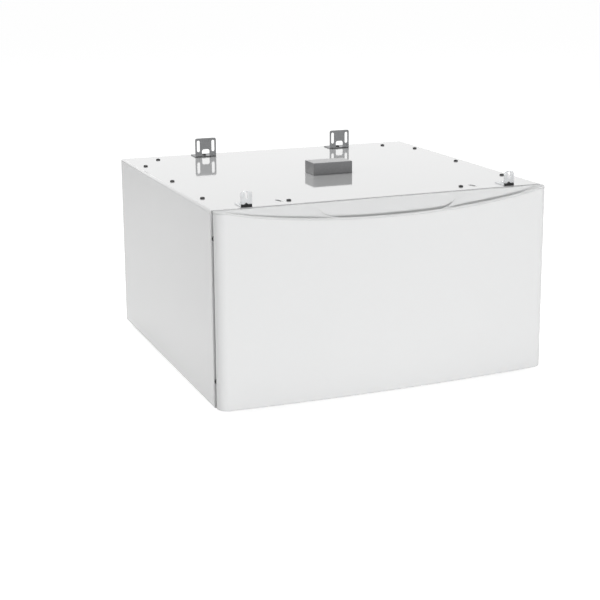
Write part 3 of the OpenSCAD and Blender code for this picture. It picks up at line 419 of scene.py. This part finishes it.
# %% Outlines in the flat
def arc_points(x, y, radius, start, stop, steps):
    """Points of an arc, angles in degrees."""
    angles = [math.radians(start + (stop - start) * i / steps) for i in range(steps + 1)]
    return [(x + radius * math.cos(a), y + radius * math.sin(a)) for a in angles]


def slot_outline(x, y, width, length):
    """An upright slot with round ends."""
    r, straight = width / 2, (length - width) / 2
    return arc_points(x, y + straight, r, 0, 180, 12) + arc_points(x, y - straight, r, 180, 360, 12)


def moved_inwards(loop, distance):
    """Moves a loop's corners to its left side, which is where the sheet's material is."""
    moved = []
    for i, (x, y) in enumerate(loop):
        before, after = Vector(loop[i - 1]), Vector(loop[(i + 1) % len(loop)])
        one = (Vector((x, y)) - before).normalized()
        two = (after - Vector((x, y))).normalized()
        turn = Vector((-one.y - two.y, one.x + two.x)).normalized()
        share = max(0.5, turn.dot(Vector((-one.y, one.x))))
        moved.append((x + turn.x * distance / share, y + turn.y * distance / share))
    return moved


def is_counterclockwise(loop):
    """True for a loop that runs with its inside on the left."""
    return sum(a[0] * b[1] - b[0] * a[1] for a, b in zip(loop, loop[1:] + loop[:1])) > 0


# %% Bent sheet
BEND_STEPS = 10
BRACKET_SHEET, BRACKET_BEND, BRACKET_RIM, FOOT_CORNER = 2 * MM, 2.4 * MM, 0.3 * MM, 0.8 * MM


def bent_sheet(name, outline, holes, thickness, rim, bend_at, bend_radius, carry):
    """A punched sheet, carried to its bent place by carry(across, along, through)."""
    work = bmesh.new()
    loops = [outline if is_counterclockwise(outline) else outline[::-1]]
    loops += [hole[::-1] if is_counterclockwise(hole) else hole for hole in holes]
    layers = [(rim, 0), (0.3 * rim, 0.3 * rim), (0, rim), (0, thickness - rim),
              (0.3 * rim, thickness - 0.3 * rim), (rim, thickness)]
    first, last = [], []
    for loop in loops:
        rings = [[work.verts.new((*p, depth)) for p in moved_inwards(loop, inset)] for inset, depth in layers]
        for low, high in zip(rings, rings[1:]):
            for i in range(len(loop)):
                k = (i + 1) % len(loop)
                work.faces.new((low[i], low[k], high[k], high[i]))
        first += [work.edges.get((rings[0][i - 1], rings[0][i])) for i in range(len(loop))]
        last += [work.edges.get((rings[-1][i - 1], rings[-1][i])) for i in range(len(loop))]
    for edges in (first, last):
        bmesh.ops.triangle_fill(work, use_beauty=True, use_dissolve=False, edges=edges)
    turn = bend_radius * math.pi / 2
    for i in range(BEND_STEPS + 1):
        bmesh.ops.bisect_plane(work, geom=work.verts[:] + work.edges[:] + work.faces[:], dist=1e-7,
                               plane_co=(0, bend_at + turn * i / BEND_STEPS, 0), plane_no=(0, 1, 0))
    for point in work.verts:
        point.co = carry(*point.co)
    bmesh.ops.recalc_face_normals(work, faces=work.faces)
    if work.calc_volume(signed=True) < 0:
        bmesh.ops.reverse_faces(work, faces=work.faces)
    mesh = bpy.data.meshes.new(name)
    work.to_mesh(mesh)
    work.free()
    smooth_below(mesh, 20)
    return mesh


def bracket(node, corner, holes_at, screw_y):
    """An L-shaped bracket in the box of its node, its plate in front and its foot behind on the deck."""
    low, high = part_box(node)
    middle, half, bend_radius = (low.x + high.x) / 2, (high.x - low.x) / 2, BRACKET_BEND
    bend_at = (high.y - low.y) - bend_radius
    turn = bend_radius * math.pi / 2
    top = bend_at + turn + (high.z - low.z) - bend_radius

    def along(height):
        return bend_at + turn + height - bend_radius

    def carry(across, s, through):
        if s < bend_at:
            return Vector((middle + across, high.y - s, low.z + through))
        if s > bend_at + turn:
            return Vector((middle + across, low.y + through, low.z + bend_radius + s - bend_at - turn))
        a = (s - bend_at) / bend_radius
        return Vector((middle + across, low.y + bend_radius - (bend_radius - through) * math.sin(a),
                       low.z + bend_radius - (bend_radius - through) * math.cos(a)))

    outline = ([(-half, FOOT_CORNER), (-half + FOOT_CORNER, 0), (half - FOOT_CORNER, 0), (half, FOOT_CORNER)]
               + arc_points(half - corner, top - corner, corner, 0, 90, 10)
               + arc_points(-half + corner, top - corner, corner, 90, 180, 10))
    holes = holes_at(along) + [arc_points(0, high.y - screw_y, SCREW_HOLE, 0, 345, 23)]
    mesh = bent_sheet(node + "_bent", outline, holes, BRACKET_SHEET, BRACKET_RIM, bend_at, bend_radius, carry)
    return add_piece(node + "_bent", mesh, node)


# %% The four brackets
REAR_SLOT, REAR_SLOT_X, REAR_SLOT_Z = (6.9 * MM, 25.5 * MM), 16.9 * MM, 24.4 * MM
WINDOW_W, WINDOW_H, WINDOW_R = 17.6 * MM, 17 * MM, 4.5 * MM
FRONT_SLOT, FRONT_SLOT_Z = (5 * MM, 12.5 * MM), 21.25 * MM
SCREW_HOLE, REAR_SCREW_Y, FRONT_SCREW_Y = 2.6 * MM, 302.35 * MM, -266.05 * MM


def rear_holes(along):
    """Two slots and the window, which starts on top of the foot."""
    x, y = WINDOW_W / 2 - WINDOW_R, along(WINDOW_H - WINDOW_R)
    window = ([(-WINDOW_W / 2, along(BRACKET_BEND)), (WINDOW_W / 2, along(BRACKET_BEND))]
              + arc_points(x, y, WINDOW_R, 0, 90, 10) + arc_points(-x, y, WINDOW_R, 90, 180, 10))
    return [slot_outline(s * REAR_SLOT_X, along(REAR_SLOT_Z), *REAR_SLOT) for s in (-1, 1)] + [window]


def front_holes(along):
    """One slot."""
    return [slot_outline(0, along(FRONT_SLOT_Z), *FRONT_SLOT)]


for side in ("left", "right"):
    for end, corner, holes_at, screw_y in (("_rear_bracket", 4 * MM, rear_holes, REAR_SCREW_Y),
                                           ("_front_bracket", 6.5 * MM, front_holes, FRONT_SCREW_Y)):
        piece = bracket(side + end, corner, holes_at, screw_y)
        print(piece.name, len(piece.data.polygons), "faces")

# %% [markdown]
# ## Cabinet wrapper
# One sheet makes the deck and both sides. Its front edge is folded in behind the drawer, and that fold
# shows as a bright line beside the dark gap, so it gets a real radius.

# %% Wrapper
FRONT_FOLD, FOLD_BAND = 1.6 * MM, 5.2 * MM
wrapper_low, wrapper_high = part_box("cabinet_wrapper")


def on_front_outline(point):
    """True on the outer edge of the wrapper's front."""
    from_edge = min(wrapper_high.x - abs(point.x), wrapper_high.z - point.z)
    return abs(point.y - wrapper_low.y) < 0.01 * MM and from_edge < FOLD_BAND


wrapper = rounded_copy("cabinet_wrapper", EDGE_OF_SHEET, FRONT_FOLD, on_front_outline)
print(wrapper.name, len(wrapper.data.polygons), "faces")

# %% [markdown]
# ## Hoods over the slits
# Seen at a low angle the curved slits look much darker than a flat cut would. So a die is taken to push
# the deck up behind each slit, into a low hood with a hollow under it. A displaced plane would need a
# very fine mesh, so a small section is lofted along the slit's arc instead, thinning out at both ends,
# and joined into the wrapper, as it is the same sheet.

# %% Raised hoods of the two slits
# radius from the arc's centre and height over the deck, in mm; then the arc in degrees and its steps
HOOD_SECTION = [(16.6, 1.0), (16.8, 1.45), (17.3, 1.6), (19.5, 1.45), (24.0, 0.0), (24.0, -0.3), (19.5, 0.95)]
HOOD_ARC, HOOD_FOOT = (-9, 54, 24), 24
SLIT_CENTRES = ((-212.9 * MM, -261.25 * MM), (191.0 * MM, -266.3 * MM))


def add_hood(work, x, y):
    """A low arched hood over the slit with its arc round a point of the deck."""
    start, stop, steps = HOOD_ARC
    rings = []
    for i in range(steps + 1):
        share = i / steps
        rise = math.sin(math.pi * share) ** 0.5
        a = math.radians(start + (stop - start) * share)
        ring = []
        for r, z in HOOD_SECTION:
            r = HOOD_FOOT + (r - HOOD_FOOT) * (0.75 + 0.25 * rise)
            height = z * rise if z > 0 else z
            ring.append(work.verts.new((x + r * MM * math.cos(a), y + r * MM * math.sin(a),
                                        wrapper_high.z + height * MM)))
        rings.append(ring)
    size = len(HOOD_SECTION)
    for low, high in zip(rings, rings[1:]):
        for k in range(size):
            work.faces.new((low[k], low[(k + 1) % size], high[(k + 1) % size], high[k]))
    work.faces.new(rings[0][::-1])
    work.faces.new(rings[-1])


work = bmesh.new()
work.from_mesh(wrapper.data)
sheet_faces = set(work.faces)
for x, y in SLIT_CENTRES:
    add_hood(work, x, y)
hood_faces = [face for face in work.faces if face not in sheet_faces]
bmesh.ops.recalc_face_normals(work, faces=hood_faces)
for face in hood_faces:
    face.smooth = True
work.to_mesh(wrapper.data)
work.free()
print("hoods", len(hood_faces), "faces")

# %% [markdown]
# ## Bowed drawer front
# The front is a steel skin with one large bow, tight upright corners, a folded lower edge and an upper
# edge that dips in the middle. A flat sheet could be bent with a modifier; a loft of one cross-section
# along the outline is exact, so highlights run over it without a break.

# %% Outline of the front
W_HALF, DECK, CABINET_FRONT = wrapper_high.x, wrapper_high.z, wrapper_low.y
skin_low, skin_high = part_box("drawer_front_skin")
BOX_FRONT, FRONT_FOOT, FRONT_X = skin_high.y, skin_low.z, skin_high.x
BOW_RADIUS, CORNER_RADIUS, SKIN = 4170 * MM, 20 * MM, 1.2 * MM
BOW_CENTRE = skin_low.y + BOW_RADIUS
side_depth = BOX_FRONT - (BOW_CENTRE - math.sqrt(BOW_RADIUS ** 2 - FRONT_X ** 2))
corner_radius = min(CORNER_RADIUS, 0.9 * side_depth)
corner_x = FRONT_X - corner_radius
corner_y = BOW_CENTRE - math.sqrt((BOW_RADIUS - corner_radius) ** 2 - corner_x ** 2)
corner_turn = math.asin(corner_x / (BOW_RADIUS - corner_radius))


def front_outline(corner_steps, bow_steps):
    """Points and outward directions of the front's plan, from its right side to its left side."""
    right = [(corner_x, corner_y, corner_radius, (corner_turn - math.pi / 2) * i / corner_steps)
             for i in range(corner_steps + 1)]
    middle = [(0, BOW_CENTRE, BOW_RADIUS, -math.pi / 2 + corner_turn * (1 - 2 * i / bow_steps))
              for i in range(1, bow_steps)]
    left = [(-x, y, r, -math.pi - a) for x, y, r, a in reversed(right)]
    arcs = right + middle + left
    return [(x + r * math.cos(a), y + r * math.sin(a), math.cos(a), math.sin(a)) for x, y, r, a in arcs]


OUTLINE = front_outline(20, 240)
print("outline", len(OUTLINE), "points, corner radius", round(corner_radius / MM, 2), "mm")

# %% Upper edge of the skin
DIP, DIP_HALF, GRIP_EDGE = 30.6 * MM, 330 * MM, 3.5 * MM


def seam_height(x):
    """Height of the skin's upper edge: a dip in the middle, level at the corners."""
    u = min(abs(x) / DIP_HALF, 1)
    return DECK - max(GRIP_EDGE, DIP * (1 - u * u) ** 0.75)


# %% Skin
FOLD, FOLD_STEPS, FLANGE = 3 * MM, 6, 14 * MM
SKIN_EDGE, WALL_END = 0.35 * MM, 1.5 * MM


def fold_arc(radius):
    """The lower fold from its bottom to the wall, as (inset, height)."""
    angles = [math.pi / 2 * i / FOLD_STEPS for i in range(FOLD_STEPS + 1)]
    return [(FOLD - radius * math.sin(a), FRONT_FOOT + FOLD - radius * math.cos(a)) for a in angles]


def skin_section(top):
    """Cross-section as (inset, height): a lower fold, the wall, and a rounded upper edge."""
    wall_low, wall_high = FRONT_FOOT + FOLD + WALL_END, top - WALL_END
    wall = [(0, wall_low), (0, wall_high), (0, top - SKIN_EDGE), (SKIN_EDGE * 0.3, top - SKIN_EDGE * 0.3),
            (SKIN_EDGE, top), (SKIN, top), (SKIN, wall_high), (SKIN, wall_low)]
    return fold_arc(FOLD) + wall + fold_arc(FOLD - SKIN)[::-1]


def box_faces(first):
    """Faces of a block whose eight points follow each other, lower ring first."""
    ring = [(0, 1, 5, 4), (1, 2, 6, 5), (2, 3, 7, 6), (3, 0, 4, 7), (3, 2, 1, 0), (4, 5, 6, 7)]
    return [tuple(first + i for i in face) for face in ring]


sections = [[(x - nx * inset, y - ny * inset, z) for inset, z in skin_section(seam_height(x))]
            for x, y, nx, ny in OUTLINE]
rows = [p for ring in sections for p in ring]
faces = loft_faces(len(sections), len(sections[0]))
plate_rim = FOLD - 0.3 * MM  # the bottom plate starts a little inside the fold
plate = [(x - nx * plate_rim, y - ny * plate_rim) for x, y, nx, ny in OUTLINE]
liner_low, liner_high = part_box("drawer_front_liner")
flange_back = liner_low.y + 1 * MM
plate = [(plate[0][0], flange_back)] + plate + [(plate[-1][0], flange_back)]
first = len(rows)
rows += [(x, y, FRONT_FOOT + SKIN) for x, y in plate] + [(x, y, FRONT_FOOT) for x, y in plate]
count = len(plate)
faces.append(tuple(first + i for i in range(count)))
faces.append(tuple(first + count + i for i in reversed(range(count))))
faces += [(first + i, first + count + i, first + count + (i + 1) % count, first + (i + 1) % count)
          for i in range(count)]
for side in (-1, 1):
    x0, x1 = side * (FRONT_X - SKIN * 0.6), side * (FRONT_X - SKIN * 0.6 - FLANGE)
    low, high = FRONT_FOOT + 0.2 * MM, liner_high.z
    first = len(rows)
    rows += [(x, y, z) for z in (low, high) for x, y in (
        (x0, flange_back - SKIN), (x1, flange_back - SKIN), (x1, flange_back), (x0, flange_back))]
    faces += box_faces(first)
skin_mesh = mesh_from("drawer_front_panel", rows, faces, smooth=40)
skin = add_piece("drawer_front_panel", skin_mesh, "drawer_front_skin")
print(skin.name, len(skin.data.polygons), "faces")

# %% [markdown]
# ## Moulded grip
# Fingers reach over the lip into a pocket. Two slanting ridges part the pocket from a shallow hollow on
# each side, and a narrow rim runs along the back. It is a loft too: at each place along the front, one
# cross-section is worked out from a few depths, so the ridges can slant across it.

# %% Depth of the scoop
GRIP_WALL, GRIP_RIM, GRIP_LIP, GRIP_TROUGH, GRIP_NOSE = 4 * MM, 6 * MM, 5 * MM, 5 * MM, 3.2 * MM
POCKET_DEPTH, WING_DEPTH = 17 * MM, 10 * MM
RIDGE_AT_LIP, RIDGE_SLANT = 113 * MM, 45 * MM
POCKET_WALL, RIDGE_HALF, WING_FADE = 16 * MM, 4 * MM, 26 * MM
SEAM_GAP = 0.3 * MM


def ease(value, start, stop):
    """Smooth step from 0 to 1."""
    t = max(0.0, min(1.0, (value - start) / (stop - start)))
    return t * t * (3 - 2 * t)


def hollow(x, t):
    """Depth under the ridges at a share t of the way from the rim to the trough."""
    across = abs(x) - RIDGE_SLANT * (1 - t)
    inner, outer = RIDGE_AT_LIP - RIDGE_HALF, RIDGE_AT_LIP + RIDGE_HALF
    pocket = POCKET_DEPTH * (1 - ease(across, inner - POCKET_WALL, inner))
    wing = WING_DEPTH * ease(across, outer, outer + WING_FADE)
    return max(pocket, wing * (1 - ease(abs(x), 0.7 * DIP_HALF, DIP_HALF)))


def scoop_height(x, t, lip):
    """Height of the scoop at a share t of the way from the rim to the trough."""
    return DECK + (lip - DECK) * ease(math.sqrt(t), 0, 1) - hollow(x, t) * ease(t, 0, 0.5)


# %% Cross-section of the grip
SCOOP_STEPS, BELOW_POINTS, RIM_EDGE = 24, 11, 0.2 * MM


def grip_section(x, y_front):
    """Closed outline of the grip at one place, as (y, height)."""
    depth, edge = BOX_FRONT - y_front, RIM_EDGE
    rim_y = BOX_FRONT - min(GRIP_RIM, depth / 4)
    lip_y = y_front + min(GRIP_LIP, depth / 3)
    low_y = lip_y + min(GRIP_TROUGH, depth / 6)
    seam, lip = seam_height(x) + SEAM_GAP, seam_height(x) + GRIP_NOSE
    in_corner = abs(x) > corner_x - 0.3 * MM
    back = [(BOX_FRONT, DECK - edge), (BOX_FRONT - 0.3 * edge, DECK - 0.3 * edge), (BOX_FRONT - edge, DECK)]
    scoop = [(rim_y + (low_y - rim_y) * t, scoop_height(x, t, lip))
             for t in (i / SCOOP_STEPS for i in range(SCOOP_STEPS + 1))]
    low = scoop[-1][1]
    rise = [(low_y + (lip_y - low_y) * s, low + (lip - low) * ease(s, 0, 1))
            for s in (0.2, 0.4, 0.6, 0.8, 0.93)]
    nose_y, nose_z = min(2.4 * MM, depth / 5), (GRIP_NOSE - SEAM_GAP) * 0.85
    nose = [(y_front + nose_y * (1 - math.sin(a)), lip - nose_z * (1 - math.cos(a)))
            for a in (math.pi / 2 * i / 6 for i in range(7))]
    step_y = y_front + min(SKIN + 0.3 * MM, depth / 8)
    rim_under, low_under = DECK - GRIP_WALL, min(seam, low) - GRIP_WALL
    if in_corner:
        below = [(step_y, seam - 0.1 * MM), (BOX_FRONT - edge, seam - 0.1 * MM), (BOX_FRONT, seam)]
    else:
        below = [(step_y, seam), (step_y, low_under), (low_y, low_under)]
        below += [(y, height - GRIP_WALL) for y, height in scoop[-4:0:-4]]
        below += [(rim_y, rim_under), (BOX_FRONT, rim_under)]
    while len(below) < BELOW_POINTS:
        y0, z0 = below[-2]
        y1, z1 = below[-1]
        below.insert(-1, ((y0 + y1) / 2, (z0 + z1) / 2))
    return back + scoop + rise + nose + [(y_front, seam)] + below


# %% Grip
GRIP_OUTLINE = front_outline(20, 260)
rings = [[(x, py, pz) for py, pz in grip_section(x, y)] for x, y, nx, ny in GRIP_OUTLINE]
points = [p for ring in rings for p in ring]
faces = loft_faces(len(rings), len(rings[0]))
grip_mesh = mesh_from("drawer_grip_moulding", points, faces, smooth=45)
grip = add_piece("drawer_grip_moulding", grip_mesh, "drawer_grip")
print(grip.name, len(grip.data.polygons), "faces")

# %% [markdown]
# ## Screws and rivets
# Ten black screws hold the deck, and some forty small ones hold the rest. Placing copies by hand would
# do, but a Geometry Nodes tree keeps one head for all: it stands a fastener on each point, turns it to
# the point's direction, and spins each by another angle, as no two screws end alike.

# %% Where the frame has them
def fastener_places(node, head_height):
    """Seat and outward direction of each fastener of a node, found from its separate solids."""
    work = bmesh.new()
    work.from_mesh(frame["nodes"][node].data)
    bmesh.ops.remove_doubles(work, verts=work.verts, dist=SAME_POINT)
    left, places = set(work.verts), []
    while left:
        island, edge = set(), [left.pop()]
        while edge:
            point = edge.pop()
            island.add(point)
            for link in point.link_edges:
                other = link.other_vert(point)
                if other in left:
                    left.discard(other)
                    edge.append(other)
        low = Vector([min(p.co[n] for p in island) for n in range(3)])
        high = Vector([max(p.co[n] for p in island) for n in range(3)])
        size, middle = high - low, (low + high) / 2
        axis = min(range(3), key=lambda n: abs(size[(n + 1) % 3] - size[(n + 2) % 3]))

        def reach(end):
            return max((Vector([0 if n == axis else p.co[n] - middle[n] for n in range(3)])).length
                       for p in island if abs(p.co[axis] - end) < 0.45 * head_height)

        up = 1 if reach(high[axis]) > reach(low[axis]) else -1
        out = Vector([up if n == axis else 0 for n in range(3)])
        seat = middle.copy()
        seat[axis] = (high if up > 0 else low)[axis] - up * head_height
        places.append((seat, out, size[axis]))
    work.free()
    return sorted(places, key=lambda p: tuple(round(v, 4) for v in p[0]))


# %% One fastener
def fastener_mesh(name, head_d, head_h, shank_d, shank_l, cross=0.0, crown=0.35, washer=None):
    """A turned fastener with its seat at the origin, and a cross recess of some depth."""
    turns, radius, edge, rim_h = 48, head_d / 2, 0.12 * MM, head_h * (1 - crown)
    profile = [(radius * s, head_h * (1 - crown * s ** 2.4))
               for s in (0.1, 0.2, 0.3, 0.4, 0.5, 0.6, 0.72, 0.84, 0.93)]
    profile += [(radius * 0.985, rim_h * 0.86), (radius, rim_h * 0.6), (radius, edge), (radius - edge, 0)]
    if washer:
        profile += [(washer[0] / 2 - 0.2 * MM, 0), (washer[0] / 2, -0.2 * MM), (washer[0] / 2, -washer[1])]
    profile += [(shank_d / 2, profile[-1][1]), (shank_d / 2, -shank_l + shank_d / 3), (shank_d / 5, -shank_l)]
    points = [(0, 0, head_h - cross)]
    for r, z in profile:
        for k in range(turns):
            a = 2 * math.pi * k / turns
            x, y = r * math.cos(a), r * math.sin(a)
            near = min(abs(x), abs(y)) / (0.085 * head_d)
            within = max(0.0, min(1.0, (0.30 * head_d - r) / (0.05 * head_d)))
            inside = max(0.0, 1 - near ** 4) * within
            points.append((x, y, z - (cross * inside if z > 0.3 * head_h else 0)))
    points.append((0, 0, -shank_l))
    end = len(points) - 1
    faces = [(0, 1 + k, 1 + (k + 1) % turns) for k in range(turns)]
    for i in range(len(profile) - 1):
        a = 1 + i * turns
        faces += [(a + k, a + turns + k, a + turns + (k + 1) % turns, a + (k + 1) % turns)
                  for k in range(turns)]
    a = end - turns
    faces += [(end, a + (k + 1) % turns, a + k) for k in range(turns)]
    return mesh_from(name, points, faces, smooth=40)


# %% Tree that stands them on their places
def fastener_tree():
    """Geometry Nodes: instances on points, turned to an attribute and spun, made real."""
    tree = bpy.data.node_groups.new("fasteners_on_places", "GeometryNodeTree")
    inputs = (("Places", "Geometry"), ("Fastener", "Object"), ("Seed", "Int"), ("Finish", "Material"))
    for label, kind in inputs:
        tree.interface.new_socket(label, in_out="INPUT", socket_type="NodeSocket" + kind)
    tree.interface.new_socket("Fasteners", in_out="OUTPUT", socket_type="NodeSocketGeometry")
    entry, leave = tree.nodes.new("NodeGroupInput"), tree.nodes.new("NodeGroupOutput")
    shape = tree.nodes.new("GeometryNodeObjectInfo")
    out = tree.nodes.new("GeometryNodeInputNamedAttribute")
    out.data_type = "FLOAT_VECTOR"
    out.inputs["Name"].default_value = "out"
    aim = tree.nodes.new("FunctionNodeAlignRotationToVector")
    aim.axis = "Z"
    spin = tree.nodes.new("FunctionNodeRandomValue")
    spin.data_type = "FLOAT"
    spin.inputs[3].default_value = 2 * math.pi
    about = tree.nodes.new("ShaderNodeCombineXYZ")
    turned = tree.nodes.new("FunctionNodeEulerToRotation")
    both = tree.nodes.new("FunctionNodeRotateRotation")
    both.rotation_space = "LOCAL"
    stand = tree.nodes.new("GeometryNodeInstanceOnPoints")
    real = tree.nodes.new("GeometryNodeRealizeInstances")
    paint = tree.nodes.new("GeometryNodeSetMaterial")
    join(tree, (entry.outputs["Fastener"], shape.inputs["Object"]), (out.outputs[0], aim.inputs["Vector"]),
         (entry.outputs["Seed"], spin.inputs["Seed"]), (spin.outputs[1], about.inputs["Z"]),
         (about.outputs[0], turned.inputs[0]), (aim.outputs[0], both.inputs["Rotation"]),
         (turned.outputs[0], both.inputs["Rotate By"]), (entry.outputs["Places"], stand.inputs["Points"]),
         (shape.outputs["Geometry"], stand.inputs["Instance"]), (both.outputs[0], stand.inputs["Rotation"]),
         (stand.outputs[0], real.inputs[0]), (real.outputs[0], paint.inputs["Geometry"]),
         (entry.outputs["Finish"], paint.inputs["Material"]), (paint.outputs[0], leave.inputs[0]))
    return tree


FASTENER_TREE = fastener_tree()
FASTENER_INPUTS = {item.name: item.identifier for item in FASTENER_TREE.interface.items_tree
                   if item.in_out == "INPUT"}


def stand_fasteners(node, mesh, places, seed):
    """One mesh with a fastener at each place, as the piece for a node."""
    points = bpy.data.meshes.new(node + "_places")
    points.from_pydata([seat for seat, out, length in places], [], [])
    facing = points.attributes.new("out", "FLOAT_VECTOR", "POINT")
    facing.data.foreach_set("vector", [v for seat, out, length in places for v in out])
    holder = bpy.data.objects.new(node + "_holder", points)
    pattern = bpy.data.objects.new(node + "_pattern", mesh)
    for thing in (holder, pattern):
        bpy.context.scene.collection.objects.link(thing)
    layer = holder.modifiers.new("fasteners", "NODES")
    layer.node_group = FASTENER_TREE
    layer[FASTENER_INPUTS["Fastener"]] = pattern
    layer[FASTENER_INPUTS["Seed"]] = seed
    layer[FASTENER_INPUTS["Finish"]] = FINISHES[SLOT_OF[node]]
    seen = holder.evaluated_get(bpy.context.evaluated_depsgraph_get())
    made = bpy.data.meshes.new_from_object(seen)
    made.name = node + "_turned"
    holder.modifiers.remove(layer)
    for thing in (holder, pattern):
        bpy.data.objects.remove(thing)
    return add_piece(node + "_turned", made, node)


# %% All fasteners
FASTENERS = {
    # node: head width, head height, shank width, depth of the cross, washer's width and thickness, in mm
    "deck_screws": (9, 3, 4.6, 1.3, None),
    "rear_bracket_screws": (9, 3, 4.6, 1.3, None),
    "front_bracket_screws": (9, 3, 4.6, 1.3, (13.5, 1)),
    "back_panel_screws": (7.4, 2.2, 3.8, 1.0, None),
    "front_liner_screws": (7.4, 2.2, 3.8, 1.0, None),
    "drawer_front_screws": (7.4, 2.2, 3.8, 1.0, None),
    "slide_screws": (7.4, 0.72, 3.8, 0.5, None),
}
for seed, (node, (head_d, head_h, shank_d, cross, washer)) in enumerate(FASTENERS.items()):
    places = fastener_places(node, head_h * MM)
    groups = {}
    for place in places:
        groups.setdefault(round(place[2] / MM, 1), []).append(place)
    shank = min(groups) - head_h - (washer[1] if washer else 0)
    mesh = fastener_mesh(node + "_one", head_d * MM, head_h * MM, shank_d * MM, shank * MM, cross * MM,
                         crown=0.35 if head_h > 1 else 0.15,
                         washer=[w * MM for w in washer] if washer else None)
    piece = stand_fasteners(node, mesh, places, seed)
    print(piece.name, len(places), "pieces of", sorted(groups), "mm", len(piece.data.polygons), "faces")

# %% [markdown]
# ## Levelling feet
# Each foot is a ribbed rubber pad with a threaded stem. The thread is one helix: the radius of a tube of
# points goes up and down once per pitch, and is turned by the same share round the axis.

# %% Threaded stems and pads
THREAD_PITCH, THREAD_DEPTH, STEM_RADIUS = 1.6 * MM, 0.5 * MM, 4.75 * MM
PAD_RIBS, RIB_DEPTH = 36, 0.35 * MM
PAD_SHAPE = [
    # share of the radius, share of the height, share of the ribs' depth
    (0.30, 0.02, 0), (0.90, 0.02, 0), (0.94, 0, 0), (0.985, 0.06, 0.3), (1, 0.14, 1), (1, 0.46, 1),
    (0.985, 0.52, 0.6), (0.75, 0.97, 0), (0.72, 1, 0), (0.53, 1, 0), (0.51, 0.97, 0), (0.50, 0.6, 0),
    (0.30, 0.6, 0)]


def threaded_stem(node):
    """The stem of a foot, with its flat head in the pad."""
    low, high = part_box(node)
    x, y = (low.x + high.x) / 2, (low.y + high.y) / 2
    head, stem, turns = (high.x - low.x) / 2, STEM_RADIUS, 24
    head_top = low.z + 2.2 * MM
    rings = [(head - 0.3 * MM, low.z, 0), (head, low.z + 0.3 * MM, 0), (head, head_top - 0.3 * MM, 0),
             (head - 0.3 * MM, head_top, 0), (stem - THREAD_DEPTH, head_top, 0)]
    steps = int((high.z - head_top - 1.4 * MM) / (THREAD_PITCH / 8))
    rings += [(stem, head_top + 0.6 * MM + THREAD_PITCH / 8 * i, 1) for i in range(steps)]
    rings += [(stem - THREAD_DEPTH, high.z - 0.5 * MM, 0), (stem - THREAD_DEPTH - 0.5 * MM, high.z, 0)]
    points = []
    for r, z, cut in rings:
        for k in range(turns):
            a = 2 * math.pi * k / turns
            phase = (z / THREAD_PITCH - k / turns) % 1
            r_here = r - cut * THREAD_DEPTH * min(1, 1.3 * abs(2 * phase - 1))
            points.append((x + r_here * math.cos(a), y + r_here * math.sin(a), z))
    mesh = mesh_from(node + "_thread", points, loft_faces(len(rings), turns), smooth=50)
    return add_piece(node + "_thread", mesh, node)


def ribbed_pad(node):
    """The rubber pad of a foot: a scalloped rim, a sloping shoulder and the socket for the stem."""
    low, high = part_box(node)
    x, y, radius = (low.x + high.x) / 2, (low.y + high.y) / 2, (high.x - low.x) / 2
    tall, turns = high.z - low.z, 144
    points = []
    for share, height, rib in PAD_SHAPE:
        for k in range(turns):
            a = 2 * math.pi * k / turns
            r = radius * share - rib * RIB_DEPTH * (0.5 - 0.5 * math.cos(PAD_RIBS * a))
            points.append((x + r * math.cos(a), y + r * math.sin(a), low.z + tall * height))
    mesh = mesh_from(node + "_ribbed", points, loft_faces(len(PAD_SHAPE), turns), smooth=40)
    return add_piece(node + "_ribbed", mesh, node)


for corner_name in ("front_left", "front_right", "rear_left", "rear_right"):
    stem, pad = threaded_stem(corner_name + "_stem"), ribbed_pad(corner_name + "_pad")
    print(stem.name, len(stem.data.polygons), "faces;", pad.name, len(pad.data.polygons), "faces")

# %% [markdown]
# ## Foam block
# A loose block of grey foam lies on the deck as packing. Its cut faces are flat with slightly soft
# edges and open cells. A cube would look like a brick, so a dense grid is pulled to a rounded block
# and its surface is moved by a little noise.

# %% Foam
FOAM_EDGE, FOAM_CELL, FOAM_GRAIN = 0.8 * MM, 1.2 * MM, 0.10 * MM


def soft_block(name, low, high, radius, cell, roughness):
    """A closed block of small square faces with rounded edges and an uneven surface."""
    size = high - low
    counts = [max(2, round(s / cell)) for s in size]
    work = bmesh.new()
    found = {}

    def corner(i, j, k):
        if (i, j, k) not in found:
            flat = Vector([low[n] + size[n] * v / counts[n] for n, v in enumerate((i, j, k))])
            core = Vector([min(max(flat[n], low[n] + radius), high[n] - radius) for n in range(3)])
            out = flat - core
            if out.length > 1e-9:
                flat = core + out.normalized() * radius
                grain = noise.noise(flat * 380) + 0.5 * noise.noise(flat * 900)
                flat += out.normalized() * grain * roughness
            flat.z = max(flat.z, low.z)
            found[(i, j, k)] = work.verts.new(flat)
        return found[(i, j, k)]

    nx, ny, nz = counts
    places = (lambda u, v, end: (end, u, v), lambda u, v, end: (v, end, u), lambda u, v, end: (u, v, end))
    for axis, (a, b, c) in enumerate(((ny, nz, nx), (nz, nx, ny), (nx, ny, nz))):
        for end in (0, c):
            for u in range(a):
                for v in range(b):
                    ring = [(u, v), (u + 1, v), (u + 1, v + 1), (u, v + 1)]
                    if end == 0:
                        ring.reverse()
                    work.faces.new([corner(*places[axis](*p, end)) for p in ring])
    bmesh.ops.recalc_face_normals(work, faces=work.faces)
    mesh = bpy.data.meshes.new(name)
    work.to_mesh(mesh)
    work.free()
    smooth_below(mesh, 60)
    return mesh


foam_low, foam_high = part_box("foam_block")
foam_mesh = soft_block("foam_packing_block", foam_low, foam_high, FOAM_EDGE, FOAM_CELL, FOAM_GRAIN)
foam = add_piece("foam_packing_block", foam_mesh, "foam_block")
print(foam.name, len(foam.data.polygons), "faces")
